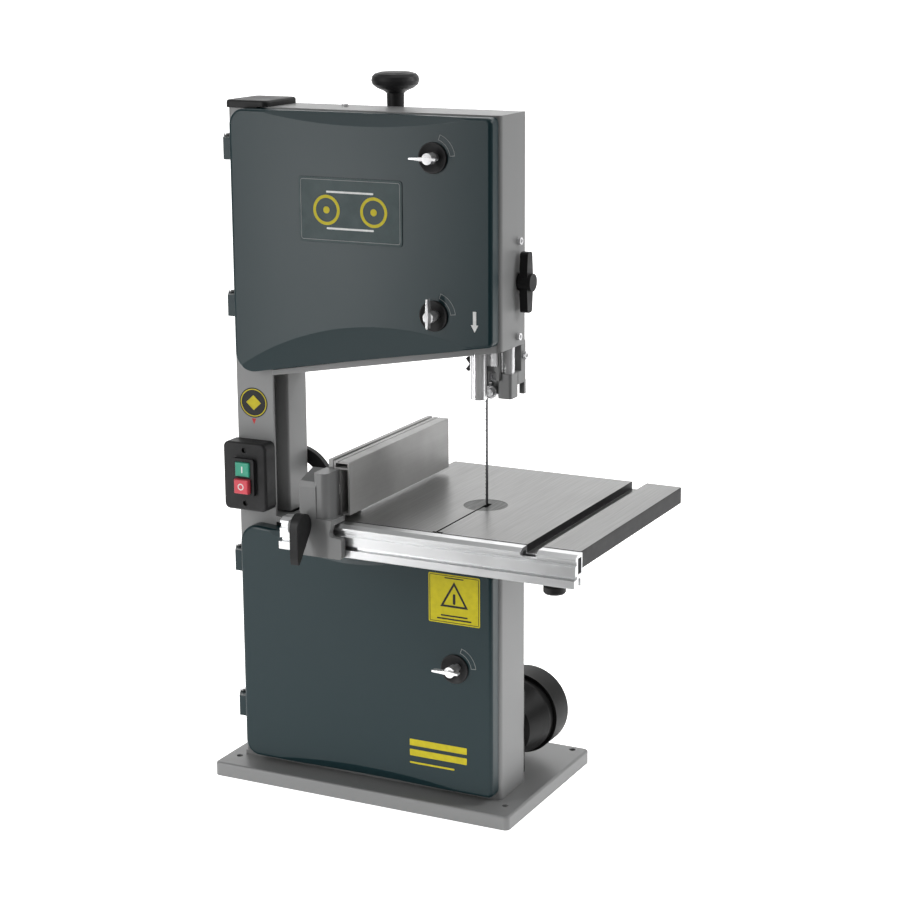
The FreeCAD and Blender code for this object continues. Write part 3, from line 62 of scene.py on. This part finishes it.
class Look:
    """A procedural material under construction."""

    def __init__(self, name):
        self.material = bpy.data.materials.new(name)
        self.material.use_nodes = True
        self.tree = self.material.node_tree
        self.tree.nodes.clear()
        self.out = self.tree.nodes.new("ShaderNodeOutputMaterial")
        self.shader = self.tree.nodes.new("ShaderNodeBsdfPrincipled")
        self.link(self.shader.outputs[0], self.out.inputs[0])
        self.coords = self.tree.nodes.new("ShaderNodeTexCoord").outputs["Object"]

    def link(self, source, target):
        self.tree.links.new(source, target)

    def set(self, **values):
        """Constant values set on the shader's own sockets."""
        for key, value in values.items():
            self.shader.inputs[key.replace("_", " ")].default_value = value
        return self

    def noise(self, scale, detail=4.0, stretch=(1, 1, 1), roughness=0.55):
        """Noise with features per metre given by scale, stretched along the axes."""
        mapping = self.tree.nodes.new("ShaderNodeMapping")
        mapping.inputs["Scale"].default_value = stretch
        self.link(self.coords, mapping.inputs["Vector"])
        node = self.tree.nodes.new("ShaderNodeTexNoise")
        node.inputs["Scale"].default_value = scale
        node.inputs["Detail"].default_value = detail
        node.inputs["Roughness"].default_value = roughness
        self.link(mapping.outputs[0], node.inputs["Vector"])
        return node.outputs["Fac"]

    def ramp(self, value, low, high, start=0.0, end=1.0):
        """Map low..high of a value to start..end, clamped."""
        node = self.tree.nodes.new("ShaderNodeMapRange")
        node.inputs["From Min"].default_value = low
        node.inputs["From Max"].default_value = high
        node.inputs["To Min"].default_value = start
        node.inputs["To Max"].default_value = end
        self.link(value, node.inputs["Value"])
        return node.outputs[0]

    def math(self, operation, a, b):
        """One arithmetic step on two values, each a number or a socket."""
        node = self.tree.nodes.new("ShaderNodeMath")
        node.operation = operation
        for socket, value in zip(node.inputs, (a, b)):
            if isinstance(value, (int, float)):
                socket.default_value = value
            else:
                self.link(value, socket)
        return node.outputs[0]

    def mix(self, factor, first, second):
        """Blend two colours, each a tuple or a socket."""
        node = self.tree.nodes.new("ShaderNodeMix")
        node.data_type = "RGBA"
        self.link(factor, node.inputs["Factor"])
        for socket, value in ((node.inputs[6], first), (node.inputs[7], second)):
            if isinstance(value, tuple):
                socket.default_value = (*value, 1)
            else:
                self.link(value, socket)
        return node.outputs[2]

    def normal_part(self, axis):
        """How far the surface faces along one axis of the object, at any pose."""
        geometry = self.tree.nodes.new("ShaderNodeNewGeometry")
        turn = self.tree.nodes.new("ShaderNodeVectorTransform")
        turn.vector_type = "NORMAL"
        turn.convert_from = "WORLD"
        turn.convert_to = "OBJECT"
        split = self.tree.nodes.new("ShaderNodeSeparateXYZ")
        self.link(geometry.outputs["Normal"], turn.inputs[0])
        self.link(turn.outputs[0], split.inputs[0])
        return split.outputs[axis]

    def bevel(self, radius):
        """A node that gives the normal of an edge rounded by the radius."""
        node = self.tree.nodes.new("ShaderNodeBevel")
        node.samples = 6
        node.inputs["Radius"].default_value = radius
        return node

    def edges(self, radius):
        """A mask that rises where the surface turns a corner within the radius."""
        bevel = self.bevel(radius)
        geometry = self.tree.nodes.new("ShaderNodeNewGeometry")
        dot = self.tree.nodes.new("ShaderNodeVectorMath")
        dot.operation = "DOT_PRODUCT"
        self.link(bevel.outputs[0], dot.inputs[0])
        self.link(geometry.outputs["Normal"], dot.inputs[1])
        return self.ramp(dot.outputs["Value"], 0.99, 0.8)

    def bump(self, height, distance, strength=1.0, edge_radius=0.0):
        """Relief from a height value, on top of softened edges."""
        node = self.tree.nodes.new("ShaderNodeBump")
        node.inputs["Distance"].default_value = distance
        node.inputs["Strength"].default_value = strength
        self.link(height, node.inputs["Height"])
        if edge_radius > 0:
            self.link(self.bevel(edge_radius).outputs[0], node.inputs["Normal"])
        self.link(node.outputs[0], self.shader.inputs["Normal"])

    def colour(self, socket):
        """Drive the base colour."""
        self.link(socket, self.shader.inputs["Base Color"])

    def rough(self, socket):
        """Drive the roughness."""
        self.link(socket, self.shader.inputs["Roughness"])


# ------------------------------------------------------------------ materials

def tinted(colour, factor, offset=0.0):
    """A colour scaled and shifted, kept at 1 or below."""
    return tuple(min(1.0, c * factor + offset) for c in colour)


def paint(name, colour, worn, roughness=0.42, gloss=0.5, peel=1.0, edge=0.0007):
    """Powder coat or enamel: orange peel, soft mottling and lighter rubbed edges.

    No paint's roughness crosses 0.27, because the denoiser leaves a contour line there.
    """
    look = Look(name).set(Specular_IOR_Level=gloss)
    base = look.mix(look.noise(4, 1), tinted(colour, 0.93), colour)
    rubbed = look.math("MULTIPLY", look.edges(edge), 0.35)
    look.colour(look.mix(rubbed, base, worn))
    look.rough(look.ramp(look.noise(6, 1), 0.0, 1.0, roughness - 0.03, roughness + 0.03))
    look.bump(look.noise(1100, 2), 0.00012 * peel, 0.3, edge)
    return look.material


def plastic(name, colour, roughness=0.5, grain=1500, depth=0.0001, edge=0.0005):
    """Moulded plastic: fine grain and slightly paler high edges."""
    look = Look(name).set(Specular_IOR_Level=0.28)
    tone = look.ramp(look.noise(30, 4), 0.3, 0.7)
    base = look.mix(tone, colour, tinted(colour, 1.25, 0.004))
    edge_mask = look.math("MULTIPLY", look.edges(edge), look.ramp(look.noise(200, 3), 0.4, 0.7))
    look.colour(look.mix(edge_mask, base, tinted(colour, 1.6, 0.02)))
    look.rough(look.ramp(look.noise(45, 5), 0.3, 0.75, roughness - 0.08, roughness + 0.1))
    look.bump(look.noise(grain, 2), depth, 0.4, edge)
    return look.material


def metal(
    name, colour, roughness, stretch=(1, 1, 1), scale=600,
    depth=0.00003, stain=0.12, metallic=1.0, spread=0.22,
):
    """Bare or plated metal: lay lines along one direction and faint stains."""
    look = Look(name).set(Metallic=metallic)
    lay = look.noise(scale, 3, stretch)
    blot = look.ramp(look.noise(26, 6), 0.35, 0.75)
    look.colour(look.mix(blot, colour, tinted(colour, 1 - stain)))
    streak = look.ramp(lay, 0.0, 1.0, roughness * (1 - 2 * spread), roughness * (1 + 2 * spread))
    look.rough(look.math("ADD", streak, look.ramp(look.noise(40, 4), 0.4, 0.8, 0.0, 0.06)))
    look.bump(lay, depth, 0.35, 0.0004)
    return look.material


def table_metal(name):
    """Ground casting: satin top with grinding lines, rough dark sides and underside."""
    look = Look(name).set(Metallic=0.85)
    up = look.ramp(look.normal_part(2), 0.9, 0.99)
    lines = look.noise(700, 3, (1, 0.02, 1))
    swirl = look.ramp(look.noise(5, 2), 0.3, 0.7)
    ground = look.mix(swirl, (0.17, 0.17, 0.167), (0.2, 0.2, 0.197))
    mottle = look.ramp(look.noise(60, 3), 0.3, 0.7)
    cast = look.mix(mottle, (0.025, 0.025, 0.026), (0.035, 0.035, 0.036))
    look.colour(look.mix(up, cast, ground))
    polished = look.ramp(lines, 0.3, 0.7, 0.3, 0.4)
    cast_roughness = 0.55
    spread = look.tree.nodes.new("ShaderNodeMix")
    spread.inputs[2].default_value = cast_roughness
    look.link(up, spread.inputs["Factor"])
    look.link(polished, spread.inputs[3])
    look.rough(spread.outputs[0])
    look.bump(look.math("MULTIPLY", lines, 0.12), 0.0002, 0.4, 0.0006)
    return look.material


def rubber(name, colour):
    """Dusty rubber with a fine grain."""
    look = Look(name).set(Specular_IOR_Level=0.3)
    dust = look.ramp(look.noise(70, 6), 0.45, 0.75)
    look.colour(look.mix(dust, colour, tinted(colour, 1, 0.06)))
    look.rough(look.ramp(look.noise(60, 4), 0.3, 0.7, 0.65, 0.85))
    look.bump(look.noise(900, 3), 0.0002, 0.5, 0.0004)
    return look.material


def print_ink(name, colour, roughness=0.45):
    """A printed or stuck-on film with slight patchiness."""
    look = Look(name).set(Specular_IOR_Level=0.25)
    patch = look.ramp(look.noise(150, 5), 0.3, 0.75)
    look.colour(look.mix(patch, colour, tinted(colour, 0.82)))
    look.rough(look.ramp(look.noise(80, 4), 0.3, 0.7, roughness - 0.02, roughness + 0.04))
    look.bump(look.noise(800, 3), 0.00004, 0.4)
    return look.material


GREY = (0.2, 0.202, 0.202)
DOOR_GREEN = (0.006, 0.0225, 0.027)
ALONG_X = (0.01, 1, 1)
ALONG_Y = (1, 0.01, 1)

looks = {
    "frame_paint": paint("frame_powder_coat", GREY, (0.62, 0.62, 0.62), 0.4),
    "door_paint": paint(
        "door_green_enamel", DOOR_GREEN, (0.02, 0.05, 0.055), 0.32, gloss=0.3, peel=0.4, edge=0.001
    ),
    "black_plastic": plastic("black_moulding", (0.006, 0.006, 0.0065), 0.5),
    "chrome": metal(
        "chrome_plate", (0.9, 0.9, 0.91), 0.14, scale=300, depth=0.00001, stain=0.06, metallic=0.6
    ),
    "bright_aluminium": metal(
        "drawn_aluminium", (0.68, 0.685, 0.69), 0.33, ALONG_X, 900, 0.000003, 0.05, spread=0.06
    ),
    "fence_aluminium": metal(
        "anodised_aluminium", (0.34, 0.338, 0.334), 0.42, ALONG_Y, 900, metallic=0.3
    ),
    "table_casting": table_metal("ground_casting"),
    "insert_metal": metal("insert_casting", (0.075, 0.077, 0.075), 0.45, (1, 0.05, 1)),
    "carrier_casting": paint(
        "carrier_enamel", (0.17, 0.172, 0.172), (0.32, 0.32, 0.32), 0.38, peel=1.6
    ),
    "wheel_casting": metal("wheel_casting_metal", (0.5, 0.5, 0.51), 0.4, scale=200, depth=0.00015),
    "motor_paint": paint(
        "motor_black", (0.003, 0.003, 0.003), (0.012, 0.012, 0.012), 0.45, gloss=0.15, peel=1.2
    ),
    "bare_steel": metal(
        "machined_steel", (0.82, 0.82, 0.83), 0.16, (1, 1, 0.05), 700, 0.00001, metallic=0.6
    ),
    "blade_steel": metal("band_steel", (0.07, 0.07, 0.075), 0.35, (1, 1, 0.02), 800),
    "wheel_rubber": rubber("tyre_rubber", (0.03, 0.03, 0.032)),
    "belt_rubber": rubber("ribbed_belt", (0.02, 0.02, 0.02)),
    "red_plastic": plastic("red_moulding", (0.5, 0.05, 0.07), 0.32, 1200, 0.00004),
    "green_plastic": plastic("green_moulding", (0.03, 0.26, 0.17), 0.32, 1200, 0.00004),
}
ink_white = print_ink("white_print", (0.72, 0.73, 0.72))
ink_yellow = print_ink("yellow_print", (0.56, 0.47, 0.01))
ink_black = print_ink("black_print", (0.012, 0.012, 0.012))
ink_dim = print_ink("dim_print", (0.2, 0.215, 0.215))
ink_red = print_ink("red_print", (0.5, 0.03, 0.03))
plate_film = print_ink("plate_film", (0.022, 0.045, 0.047), 0.35)
label_film = print_ink("label_film", (0.56, 0.48, 0.006), 0.5)

# Each CAD node takes the look of its material slot.
slot_of = {part["node"]: part["material_slot"] for part in frame["record"]["subparts"]}
for name, node in nodes.items():
    node.data.materials.clear()
    node.data.materials.append(looks[slot_of[name]])
    for polygon in node.data.polygons:
        polygon.material_index = 0


# ------------------------------------------------------------------ mesh helpers

def finish_mesh(name, bm, material, body):
    """Turn a bmesh into a named piece that rides on a body."""
    bmesh.ops.recalc_face_normals(bm, faces=bm.faces)
    mesh = bpy.data.meshes.new(name)
    bm.to_mesh(mesh)
    bm.free()
    piece = bpy.data.objects.new(name, mesh)
    bpy.context.scene.collection.objects.link(piece)
    mesh.materials.append(material)
    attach(piece, body)
    return piece


def smooth(mesh):
    """Shade every face of a mesh smooth."""
    for polygon in mesh.polygons:
        polygon.use_smooth = True


def flat_shape(bm, rings, y_back, thickness):
    """A thin plate facing -Y: one ring is its outline, and a second one is a hole in it.

    Both rings have the same number of points.
    """
    loops = [[bm.verts.new((x, y_back - thickness, z)) for x, z in ring] for ring in rings]
    if len(loops) == 1:
        faces = [bm.faces.new(loops[0])]
    else:
        outer, inner = loops
        faces = []
        for i in range(len(outer)):
            j = (i + 1) % len(outer)
            faces.append(bm.faces.new((outer[i], outer[j], inner[j], inner[i])))
    result = bmesh.ops.extrude_face_region(bm, geom=faces)
    moved = [v for v in result["geom"] if isinstance(v, bmesh.types.BMVert)]
    bmesh.ops.translate(bm, verts=moved, vec=(0, thickness, 0))


def on_circle(cx, cz, radius, angle):
    """A point round a centre, with the angle in radians from the first axis to the second."""
    return (cx + radius * math.cos(angle), cz + radius * math.sin(angle))


def round_rect(x0, x1, z0, z1, radius, steps=6):
    """Points of a rectangle with rounded corners, in X and Z."""
    points = []
    for cx, cz, start in (
        (x1 - radius, z1 - radius, 0),
        (x0 + radius, z1 - radius, 90),
        (x0 + radius, z0 + radius, 180),
        (x1 - radius, z0 + radius, 270),
    ):
        for i in range(steps + 1):
            points.append(on_circle(cx, cz, radius, math.radians(start + 90 * i / steps)))
    return points


def bar(cx, cz, width, height, radius):
    """Points of a small rectangle with rounded corners round a centre."""
    return round_rect(cx - width / 2, cx + width / 2, cz - height / 2, cz + height / 2, radius, 3)


def oval(cx, cz, rx, rz, steps=40):
    """Points of an ellipse, in X and Z."""
    return [
        (cx + rx * math.cos(2 * math.pi * i / steps), cz + rz * math.sin(2 * math.pi * i / steps))
        for i in range(steps)
    ]


def circle(cx, cz, radius):
    """Points of a circle, in X and Z."""
    return oval(cx, cz, radius, radius)


def band_arc(cx, cz, r_in, r_out, a0, a1, steps=16):
    """Points round a piece of a ring, with angles in degrees from +X towards +Z."""
    angles = [math.radians(a0 + (a1 - a0) * i / steps) for i in range(steps + 1)]
    outer = [on_circle(cx, cz, r_out, a) for a in angles]
    inner = [on_circle(cx, cz, r_in, a) for a in angles]
    return outer + inner[::-1]


def printed(name, shapes, y, thickness, material, body):
    """One printed mark made of several flat shapes."""
    bm = bmesh.new()
    for rings in shapes:
        flat_shape(bm, rings, y, thickness)
    return finish_mesh(name, bm, material, body)


# ------------------------------------------------------------------ blade

def build_blade():
    """The endless blade with its teeth, down through the guides and round both wheels."""
    low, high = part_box("blade")
    wheel_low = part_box("lower_wheel")
    wheel_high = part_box("upper_wheel")
    x_mid = (low.x + high.x) / 2
    half_t = 0.3 * MM  # half the thickness of the band
    radius = (high.x - low.x) / 2 - half_t
    z_low = (wheel_low[0].z + wheel_low[1].z) / 2
    z_high = (wheel_high[0].z + wheel_high[1].z) / 2
    run = z_high - z_low
    length = 2 * run + 2 * math.pi * radius
    teeth = round(length / (4.2 * MM))
    pitch = length / teeth
    gullet = 1.7 * MM
    tooth_set = 0.144 * MM  # how far a set tooth leans out of the band
    # Points of a tooth: share of the pitch back from its tip, depth below the tip, set.
    # The steep face is the one met first going down, so the teeth point up; real ones point down.
    outline = ((0.0, 0.0, tooth_set), (0.12, gullet, 0.0), (0.45, gullet * 0.85, 0.0))

    def at(s):
        """Centre point and outward direction at a distance along the loop, cutting run first."""
        s = s % length
        if s < run:
            return (x_mid + radius, z_high - s), (1, 0)
        s -= run
        if s < math.pi * radius:
            a = -s / radius
            return on_circle(x_mid, z_low, radius, a), (math.cos(a), math.sin(a))
        s -= math.pi * radius
        if s < run:
            return (x_mid - radius, z_low + s), (-1, 0)
        s -= run
        a = math.pi - s / radius
        return on_circle(x_mid, z_high, radius, a), (math.cos(a), math.sin(a))

    bm = bmesh.new()
    rows = []
    for i in range(teeth):
        for share, depth, lean in outline:
            side = lean * ((i % 3) - 1)
            s = (i + 1 - share) * pitch
            (x, z), (nx, nz) = at(s)
            ring = []
            for y, t in (
                (low.y + depth, half_t + side),
                (high.y, half_t),
                (high.y, -half_t),
                (low.y + depth, -half_t + side),
            ):
                ring.append(bm.verts.new((x + nx * t, y, z + nz * t)))
            rows.append((s, ring))
    rows.sort(key=lambda row: row[0])
    rings = [ring for _, ring in rows]
    for i, ring in enumerate(rings):
        following = rings[(i + 1) % len(rings)]
        for k in range(4):
            bm.faces.new((ring[k], ring[(k + 1) % 4], following[(k + 1) % 4], following[k]))
    piece = finish_mesh("blade_with_teeth", bm, looks["blade_steel"], "frame")
    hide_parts("blade")


build_blade()


# ------------------------------------------------------------------ tension spring

def build_spring():
    """A coil spring with flat closed ends, fixed to the frame."""
    low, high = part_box("tension_spring")
    cx = (low.x + high.x) / 2
    cy = (low.y + high.y) / 2
    wire = 1.1 * MM  # radius of the wire
    coil_r = (high.x - low.x) / 2 - wire - 0.3 * MM
    turns = 6
    steps = 24
    sides = 8
    closed = 0.8  # turns that lie flat at each end
    bottom = low.z + wire + 0.1 * MM
    rise = high.z - low.z - 2 * wire - 0.6 * MM
    bm = bmesh.new()
    rings = []
    for i in range(turns * steps + 1):
        a = 2 * math.pi * i / steps
        share = min(1, max(0, (i / steps - closed) / (turns - 2 * closed)))
        z = bottom + rise * share
        ring = []
        for k in range(sides):
            b = 2 * math.pi * k / sides
            x, y = on_circle(cx, cy, coil_r + wire * math.cos(b), a)
            ring.append(bm.verts.new((x, y, z + wire * math.sin(b))))
        rings.append(ring)
    for first, second in zip(rings, rings[1:]):
        for k in range(sides):
            j = (k + 1) % sides
            bm.faces.new((first[k], first[j], second[j], second[k]))
    bm.faces.new(rings[0])
    bm.faces.new(rings[-1][::-1])
    spring = finish_mesh("coil_spring", bm, looks["bare_steel"], "frame")
    smooth(spring.data)
    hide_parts("tension_spring")
    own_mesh(spring)


build_spring()


# ------------------------------------------------------------------ labels and marks

LATCH_STANDOFF = 18 * MM
DOOR_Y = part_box("latch_top")[0].y + LATCH_STANDOFF  # front face of both doors
INK = 0.12 * MM  # thickness of a print or film
RAISED = 0.8 * MM  # how far the name plate stands off the door

# Centre of each latch in X and Z, with the door it sits on
LATCHES = {
    "latch_top": ("upper_door", 95.8 * MM, 757.6 * MM),
    "latch_middle": ("upper_door", 95.6 * MM, 583.7 * MM),
    "latch_lower": ("lower_door", 119.3 * MM, 176.4 * MM),
}
# Half section of a latch collar in mm: distance from the axis, distance behind the door face
COLLAR = ((17.25, -0.05), (17.25, -1.9), (16.8, -2.35), (15.7, -2.35), (6.3, 5.3), (4.6, 5.5))

# Rectangles on the doors: left, right, bottom, top
PLATE_AREA = (-73.3 * MM, 57.5 * MM, 657.7 * MM, 730.5 * MM)
CAUTION_AREA = (86.2 * MM, 151.3 * MM, 229.5 * MM, 288 * MM)


def inset(area, margin, radius):
    """Points of a rounded rectangle that lies inside an area."""
    x0, x1, z0, z1 = area
    return round_rect(x0 + margin, x1 - margin, z0 + margin, z1 - margin, radius)


def latch_trim(name, body, x, z):
    """The black bowl-shaped collar and the curved travel mark beside one latch."""
    bm = bmesh.new()
    steps = 48
    rings = []
    for i in range(steps):
        ring = []
        for r, dy in COLLAR:
            px, pz = on_circle(x, z, r * MM, 2 * math.pi * i / steps)
            ring.append(bm.verts.new((px, DOOR_Y + dy * MM, pz)))
        rings.append(ring)
    for i, ring in enumerate(rings):
        following = rings[(i + 1) % steps]
        for k in range(len(COLLAR) - 1):
            bm.faces.new((ring[k], ring[k + 1], following[k + 1], following[k]))
    collar = finish_mesh(name + "_collar", bm, looks["black_plastic"], body)
    smooth(collar.data)
    outer = band_arc(x, z, 20.5 * MM, 27 * MM, 6, 72)
    inner = band_arc(x, z, 21.2 * MM, 26.3 * MM, 8, 70)
    mark = [[outer, inner]]
    printed(name + "_travel_mark", mark, DOOR_Y, INK, ink_dim, body)


def build_name_plate():
    """A plain plate with a border and a simple picture of a blade round two wheels."""
    x0, x1, z0, z1 = PLATE_AREA
    cx = (x0 + x1) / 2
    cz = (z0 + z1) / 2
    y = DOOR_Y - RAISED
    wheel_gap = 30 * MM  # from the middle of the plate to each wheel
    rim = 17 * MM
    wheels = []
    bands = []
    for side in (-1, 1):
        hub = cx + side * wheel_gap
        wheels.append([circle(hub, cz, rim), circle(hub, cz, rim - 3.5 * MM)])
        wheels.append([circle(hub, cz, 4 * MM)])
        bands.append([bar(cx, cz + side * (rim + 3.5 * MM), 2 * wheel_gap, 2.2 * MM, 1 * MM)])
    border = [[inset(PLATE_AREA, 2.2 * MM, 3 * MM), inset(PLATE_AREA, 3 * MM, 2.2 * MM)]]
    film = [[inset(PLATE_AREA, 0, 4 * MM)]]
    for name, shapes, back, ink in (
        ("name_plate_film", film, y, plate_film),
        ("name_plate_border", border, y - INK, ink_dim),
        ("name_plate_wheels", wheels, y - INK, ink_yellow),
        ("name_plate_band", bands, y - INK, ink_white),
    ):
        printed(name, shapes, back, INK, ink, "upper_door")


def build_caution_label():
    """A yellow label: a plain triangle with a stroke in it, over two bars."""
    x0, x1, z0, z1 = CAUTION_AREA
    cx = (x0 + x1) / 2
    middle = z0 + 30 * MM

    def triangle(size):
        return [on_circle(cx, middle, size, math.radians(a)) for a in (90, 210, 330)]

    marks = [
        [inset(CAUTION_AREA, 1.4 * MM, 1.5 * MM), inset(CAUTION_AREA, 2.1 * MM, 1.0 * MM)],
        [triangle(20.5 * MM), triangle(15.5 * MM)],
        [bar(cx, z0 + 29.75 * MM, 3.2 * MM, 12.5 * MM, 1.2 * MM)],
        [bar(cx, z1 - 4.3 * MM, 24 * MM, 1.4 * MM, 0.6 * MM)],
        [bar(cx, z0 + 5.5 * MM, 44 * MM, 1.8 * MM, 0.8 * MM)],
        [bar(cx, z0 + 9.5 * MM, 34 * MM, 1.8 * MM, 0.8 * MM)],
    ]
    film = [[inset(CAUTION_AREA, 0, 2 * MM)]]
    printed("caution_label", film, DOOR_Y, INK, label_film, "lower_door")
    printed("caution_marks", marks, DOOR_Y - INK, INK, ink_black, "lower_door")


def build_door_marks():
    """Plain stripes low on the lower door, and an arrow that shows which way the blade runs."""
    stripe_left = 60 * MM
    stripes = []
    for z, width, height in ((78, 74, 8), (65.5, 74, 8), (53, 58, 2.2)):
        centre = stripe_left + width / 2 * MM
        stripes.append([bar(centre, z * MM, width * MM, height * MM, 0.9 * MM)])
    printed("door_stripes", stripes, DOOR_Y, INK, ink_yellow, "lower_door")

    axis = 145.5
    tail, neck, tip = (592, 577, 568.6)
    shaft = 2
    head = 4.5
    arrow = [
        (axis + shaft, tail), (axis + shaft, neck), (axis + head, neck), (axis, tip),
        (axis - head, neck), (axis - shaft, neck), (axis - shaft, tail),
    ]
    shapes = [[[(x * MM, z * MM) for x, z in arrow]]]
    printed("blade_arrow", shapes, DOOR_Y, INK, ink_white, "upper_door")


def build_column_badge():
    """A plain oval badge on the column, with a ring and a small red tag below it."""
    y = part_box("upper_housing")[0].y
    bx, bz = (-152 * MM, 459 * MM)
    badge = [[oval(bx, bz, 19 * MM, 18 * MM)]]
    ring = [oval(bx, bz, 17.6 * MM, 16.6 * MM), oval(bx, bz, 16.4 * MM, 15.4 * MM)]
    diamond = [(bx, bz + 9 * MM), (bx - 10 * MM, bz), (bx, bz - 9 * MM), (bx + 10 * MM, bz)]
    tag = [(bx - 3 * MM, 440 * MM), (bx, 433 * MM), (bx + 3 * MM, 440 * MM)]
    for name, shapes, back, ink in (
        ("column_badge", badge, y, ink_black),
        ("column_badge_ring", [ring, [diamond]], y - INK, ink_yellow),
        ("column_badge_tag", [[tag]], y, ink_red),
    ):
        printed(name, shapes, back, INK, ink, "frame")


def build_button_marks():
    """The start bar and the stop ring, printed on the two buttons."""
    green_low, green_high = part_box("green_button")
    red_low, red_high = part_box("red_button")
    ink = 0.05 * MM
    x = (green_low.x + green_high.x) / 2
    start_z = (green_low.z + green_high.z) / 2
    stop_z = (red_low.z + red_high.z) / 2
    start = [[bar(x, start_z, 1.6 * MM, 8 * MM, 0.5 * MM)]]
    stop = [[circle(x, stop_z, 4 * MM), circle(x, stop_z, 2.7 * MM)]]
    printed("start_mark", start, green_low.y, ink, ink_white, "green_button")
    printed("stop_mark", stop, red_low.y, ink, ink_white, "red_button")


for latch, (door, latch_x, latch_z) in LATCHES.items():
    latch_trim(latch, door, latch_x, latch_z)
build_name_plate()
build_caution_label()
build_door_marks()
build_column_badge()
build_button_marks()


# ------------------------------------------------------------------ floor, light and camera

AZIMUTH = math.radians(26.64)  # how far the camera has gone round the saw
CAMERA_PLACE = (1.181, -2.222, 1.011)
CAMERA_DOWN = math.radians(13.65)
CAMERA_ROLL = math.radians(-0.32)
SAW_MIDDLE = (0, 0, 0.45)

# Name, place, target, width and height, power in watts
LAMPS = (
    ("key_softbox", (-1.7, -2.3, 1.9), SAW_MIDDLE, (1.0, 1.4), 20),
    ("door_strip", (-0.84, -1.5, 0.6), (-0.05, -0.1, 0.5), (0.16, 1.15), 9),
    ("edge_card", (1.5, -1.25, 0.75), (0.1, -0.05, 0.55), (0.35, 1.2), 0.5),
    ("top_softbox", (0.1, 0.4, 2.6), SAW_MIDDLE, (1.8, 1.8), 12),
    ("side_softbox", (1.9, 0.9, 1.7), (0.1, 0, 0.7), (0.9, 1.2), 30),
)


def build_stage():
    """A white paper sweep laid square to the camera, rising behind the saw."""
    bm = bmesh.new()
    half_width = 3.0
    front = -0.7
    bend = 1.2
    reach = 2.6
    top = 3.0
    steps = 16
    profile = [(front, 0.0), (0.6, 0.0)]
    for i in range(steps + 1):
        a = math.radians(90 * i / steps)
        profile.append((reach - bend + bend * math.sin(a), bend - bend * math.cos(a)))
    profile.append((reach, top))
    left = [bm.verts.new((-half_width, y, z)) for y, z in profile]
    right = [bm.verts.new((half_width, y, z)) for y, z in profile]
    for i in range(len(profile) - 1):
        bm.faces.new((left[i], right[i], right[i + 1], left[i + 1]))
    turn = Matrix.Rotation(AZIMUTH, 3, "Z")
    bmesh.ops.rotate(bm, verts=bm.verts, cent=(0, 0, 0), matrix=turn)
    mesh = bpy.data.meshes.new("studio_floor")
    bm.to_mesh(mesh)
    bm.free()
    floor = bpy.data.objects.new("studio_floor", mesh)
    bpy.context.scene.collection.objects.link(floor)
    smooth(mesh)
    look = Look("studio_paper")
    look.set(Specular_IOR_Level=0.1, Emission_Color=(1, 1, 1, 1), Emission_Strength=0.85)
    cloud = look.ramp(look.noise(0.6, 3), 0.3, 0.7)
    look.colour(look.mix(cloud, (0.9, 0.9, 0.9), (0.93, 0.93, 0.93)))
    look.rough(look.ramp(look.noise(3, 3), 0.3, 0.7, 0.75, 0.85))
    mesh.materials.append(look.material)


def add_area(name, place, target, size, power):
    """A rectangular lamp aimed at a point."""
    light = bpy.data.lights.new(name, "AREA")
    light.shape = "RECTANGLE"
    light.size, light.size_y = size
    light.energy = power
    lamp = bpy.data.objects.new(name, light)
    bpy.context.scene.collection.objects.link(lamp)
    lamp.location = place
    direction = Vector(target) - Vector(place)
    lamp.rotation_euler = direction.to_track_quat("-Z", "Y").to_euler()


def build_light():
    """Soft boxes in a room that is dark below the horizon and brighter overhead."""
    world = bpy.data.worlds.new("studio_world")
    bpy.context.scene.world = world
    world.use_nodes = True
    tree = world.node_tree
    background = tree.nodes["Background"]
    background.inputs["Strength"].default_value = 1.0
    direction = tree.nodes.new("ShaderNodeTexCoord")
    split = tree.nodes.new("ShaderNodeSeparateXYZ")
    rise = tree.nodes.new("ShaderNodeMapRange")
    limits = {"From Min": -0.35, "From Max": 0.9, "To Min": 0.02, "To Max": 0.4}
    for socket, value in limits.items():
        rise.inputs[socket].default_value = value
    tree.links.new(direction.outputs["Generated"], split.inputs[0])
    tree.links.new(split.outputs[2], rise.inputs["Value"])
    tree.links.new(rise.outputs[0], background.inputs["Color"])
    for lamp in LAMPS:
        add_area(*lamp)


def build_camera():
    """The camera that matches the photo."""
    camera = bpy.data.cameras.new("photo_camera")
    camera.sensor_width = 36.0
    camera.lens = 87.7
    holder = bpy.data.objects.new("photo_camera", camera)
    bpy.context.scene.collection.objects.link(holder)
    azimuth = Matrix.Rotation(AZIMUTH, 4, "Z")
    pitch = Matrix.Rotation(math.radians(90) - CAMERA_DOWN, 4, "X")
    roll = Matrix.Rotation(CAMERA_ROLL, 4, "Z")
    holder.matrix_world = Matrix.Translation(CAMERA_PLACE) @ azimuth @ pitch @ roll
    bpy.context.scene.camera = holder


build_stage()
build_light()
build_camera()
bpy.context.scene.view_settings.view_transform = "Standard"
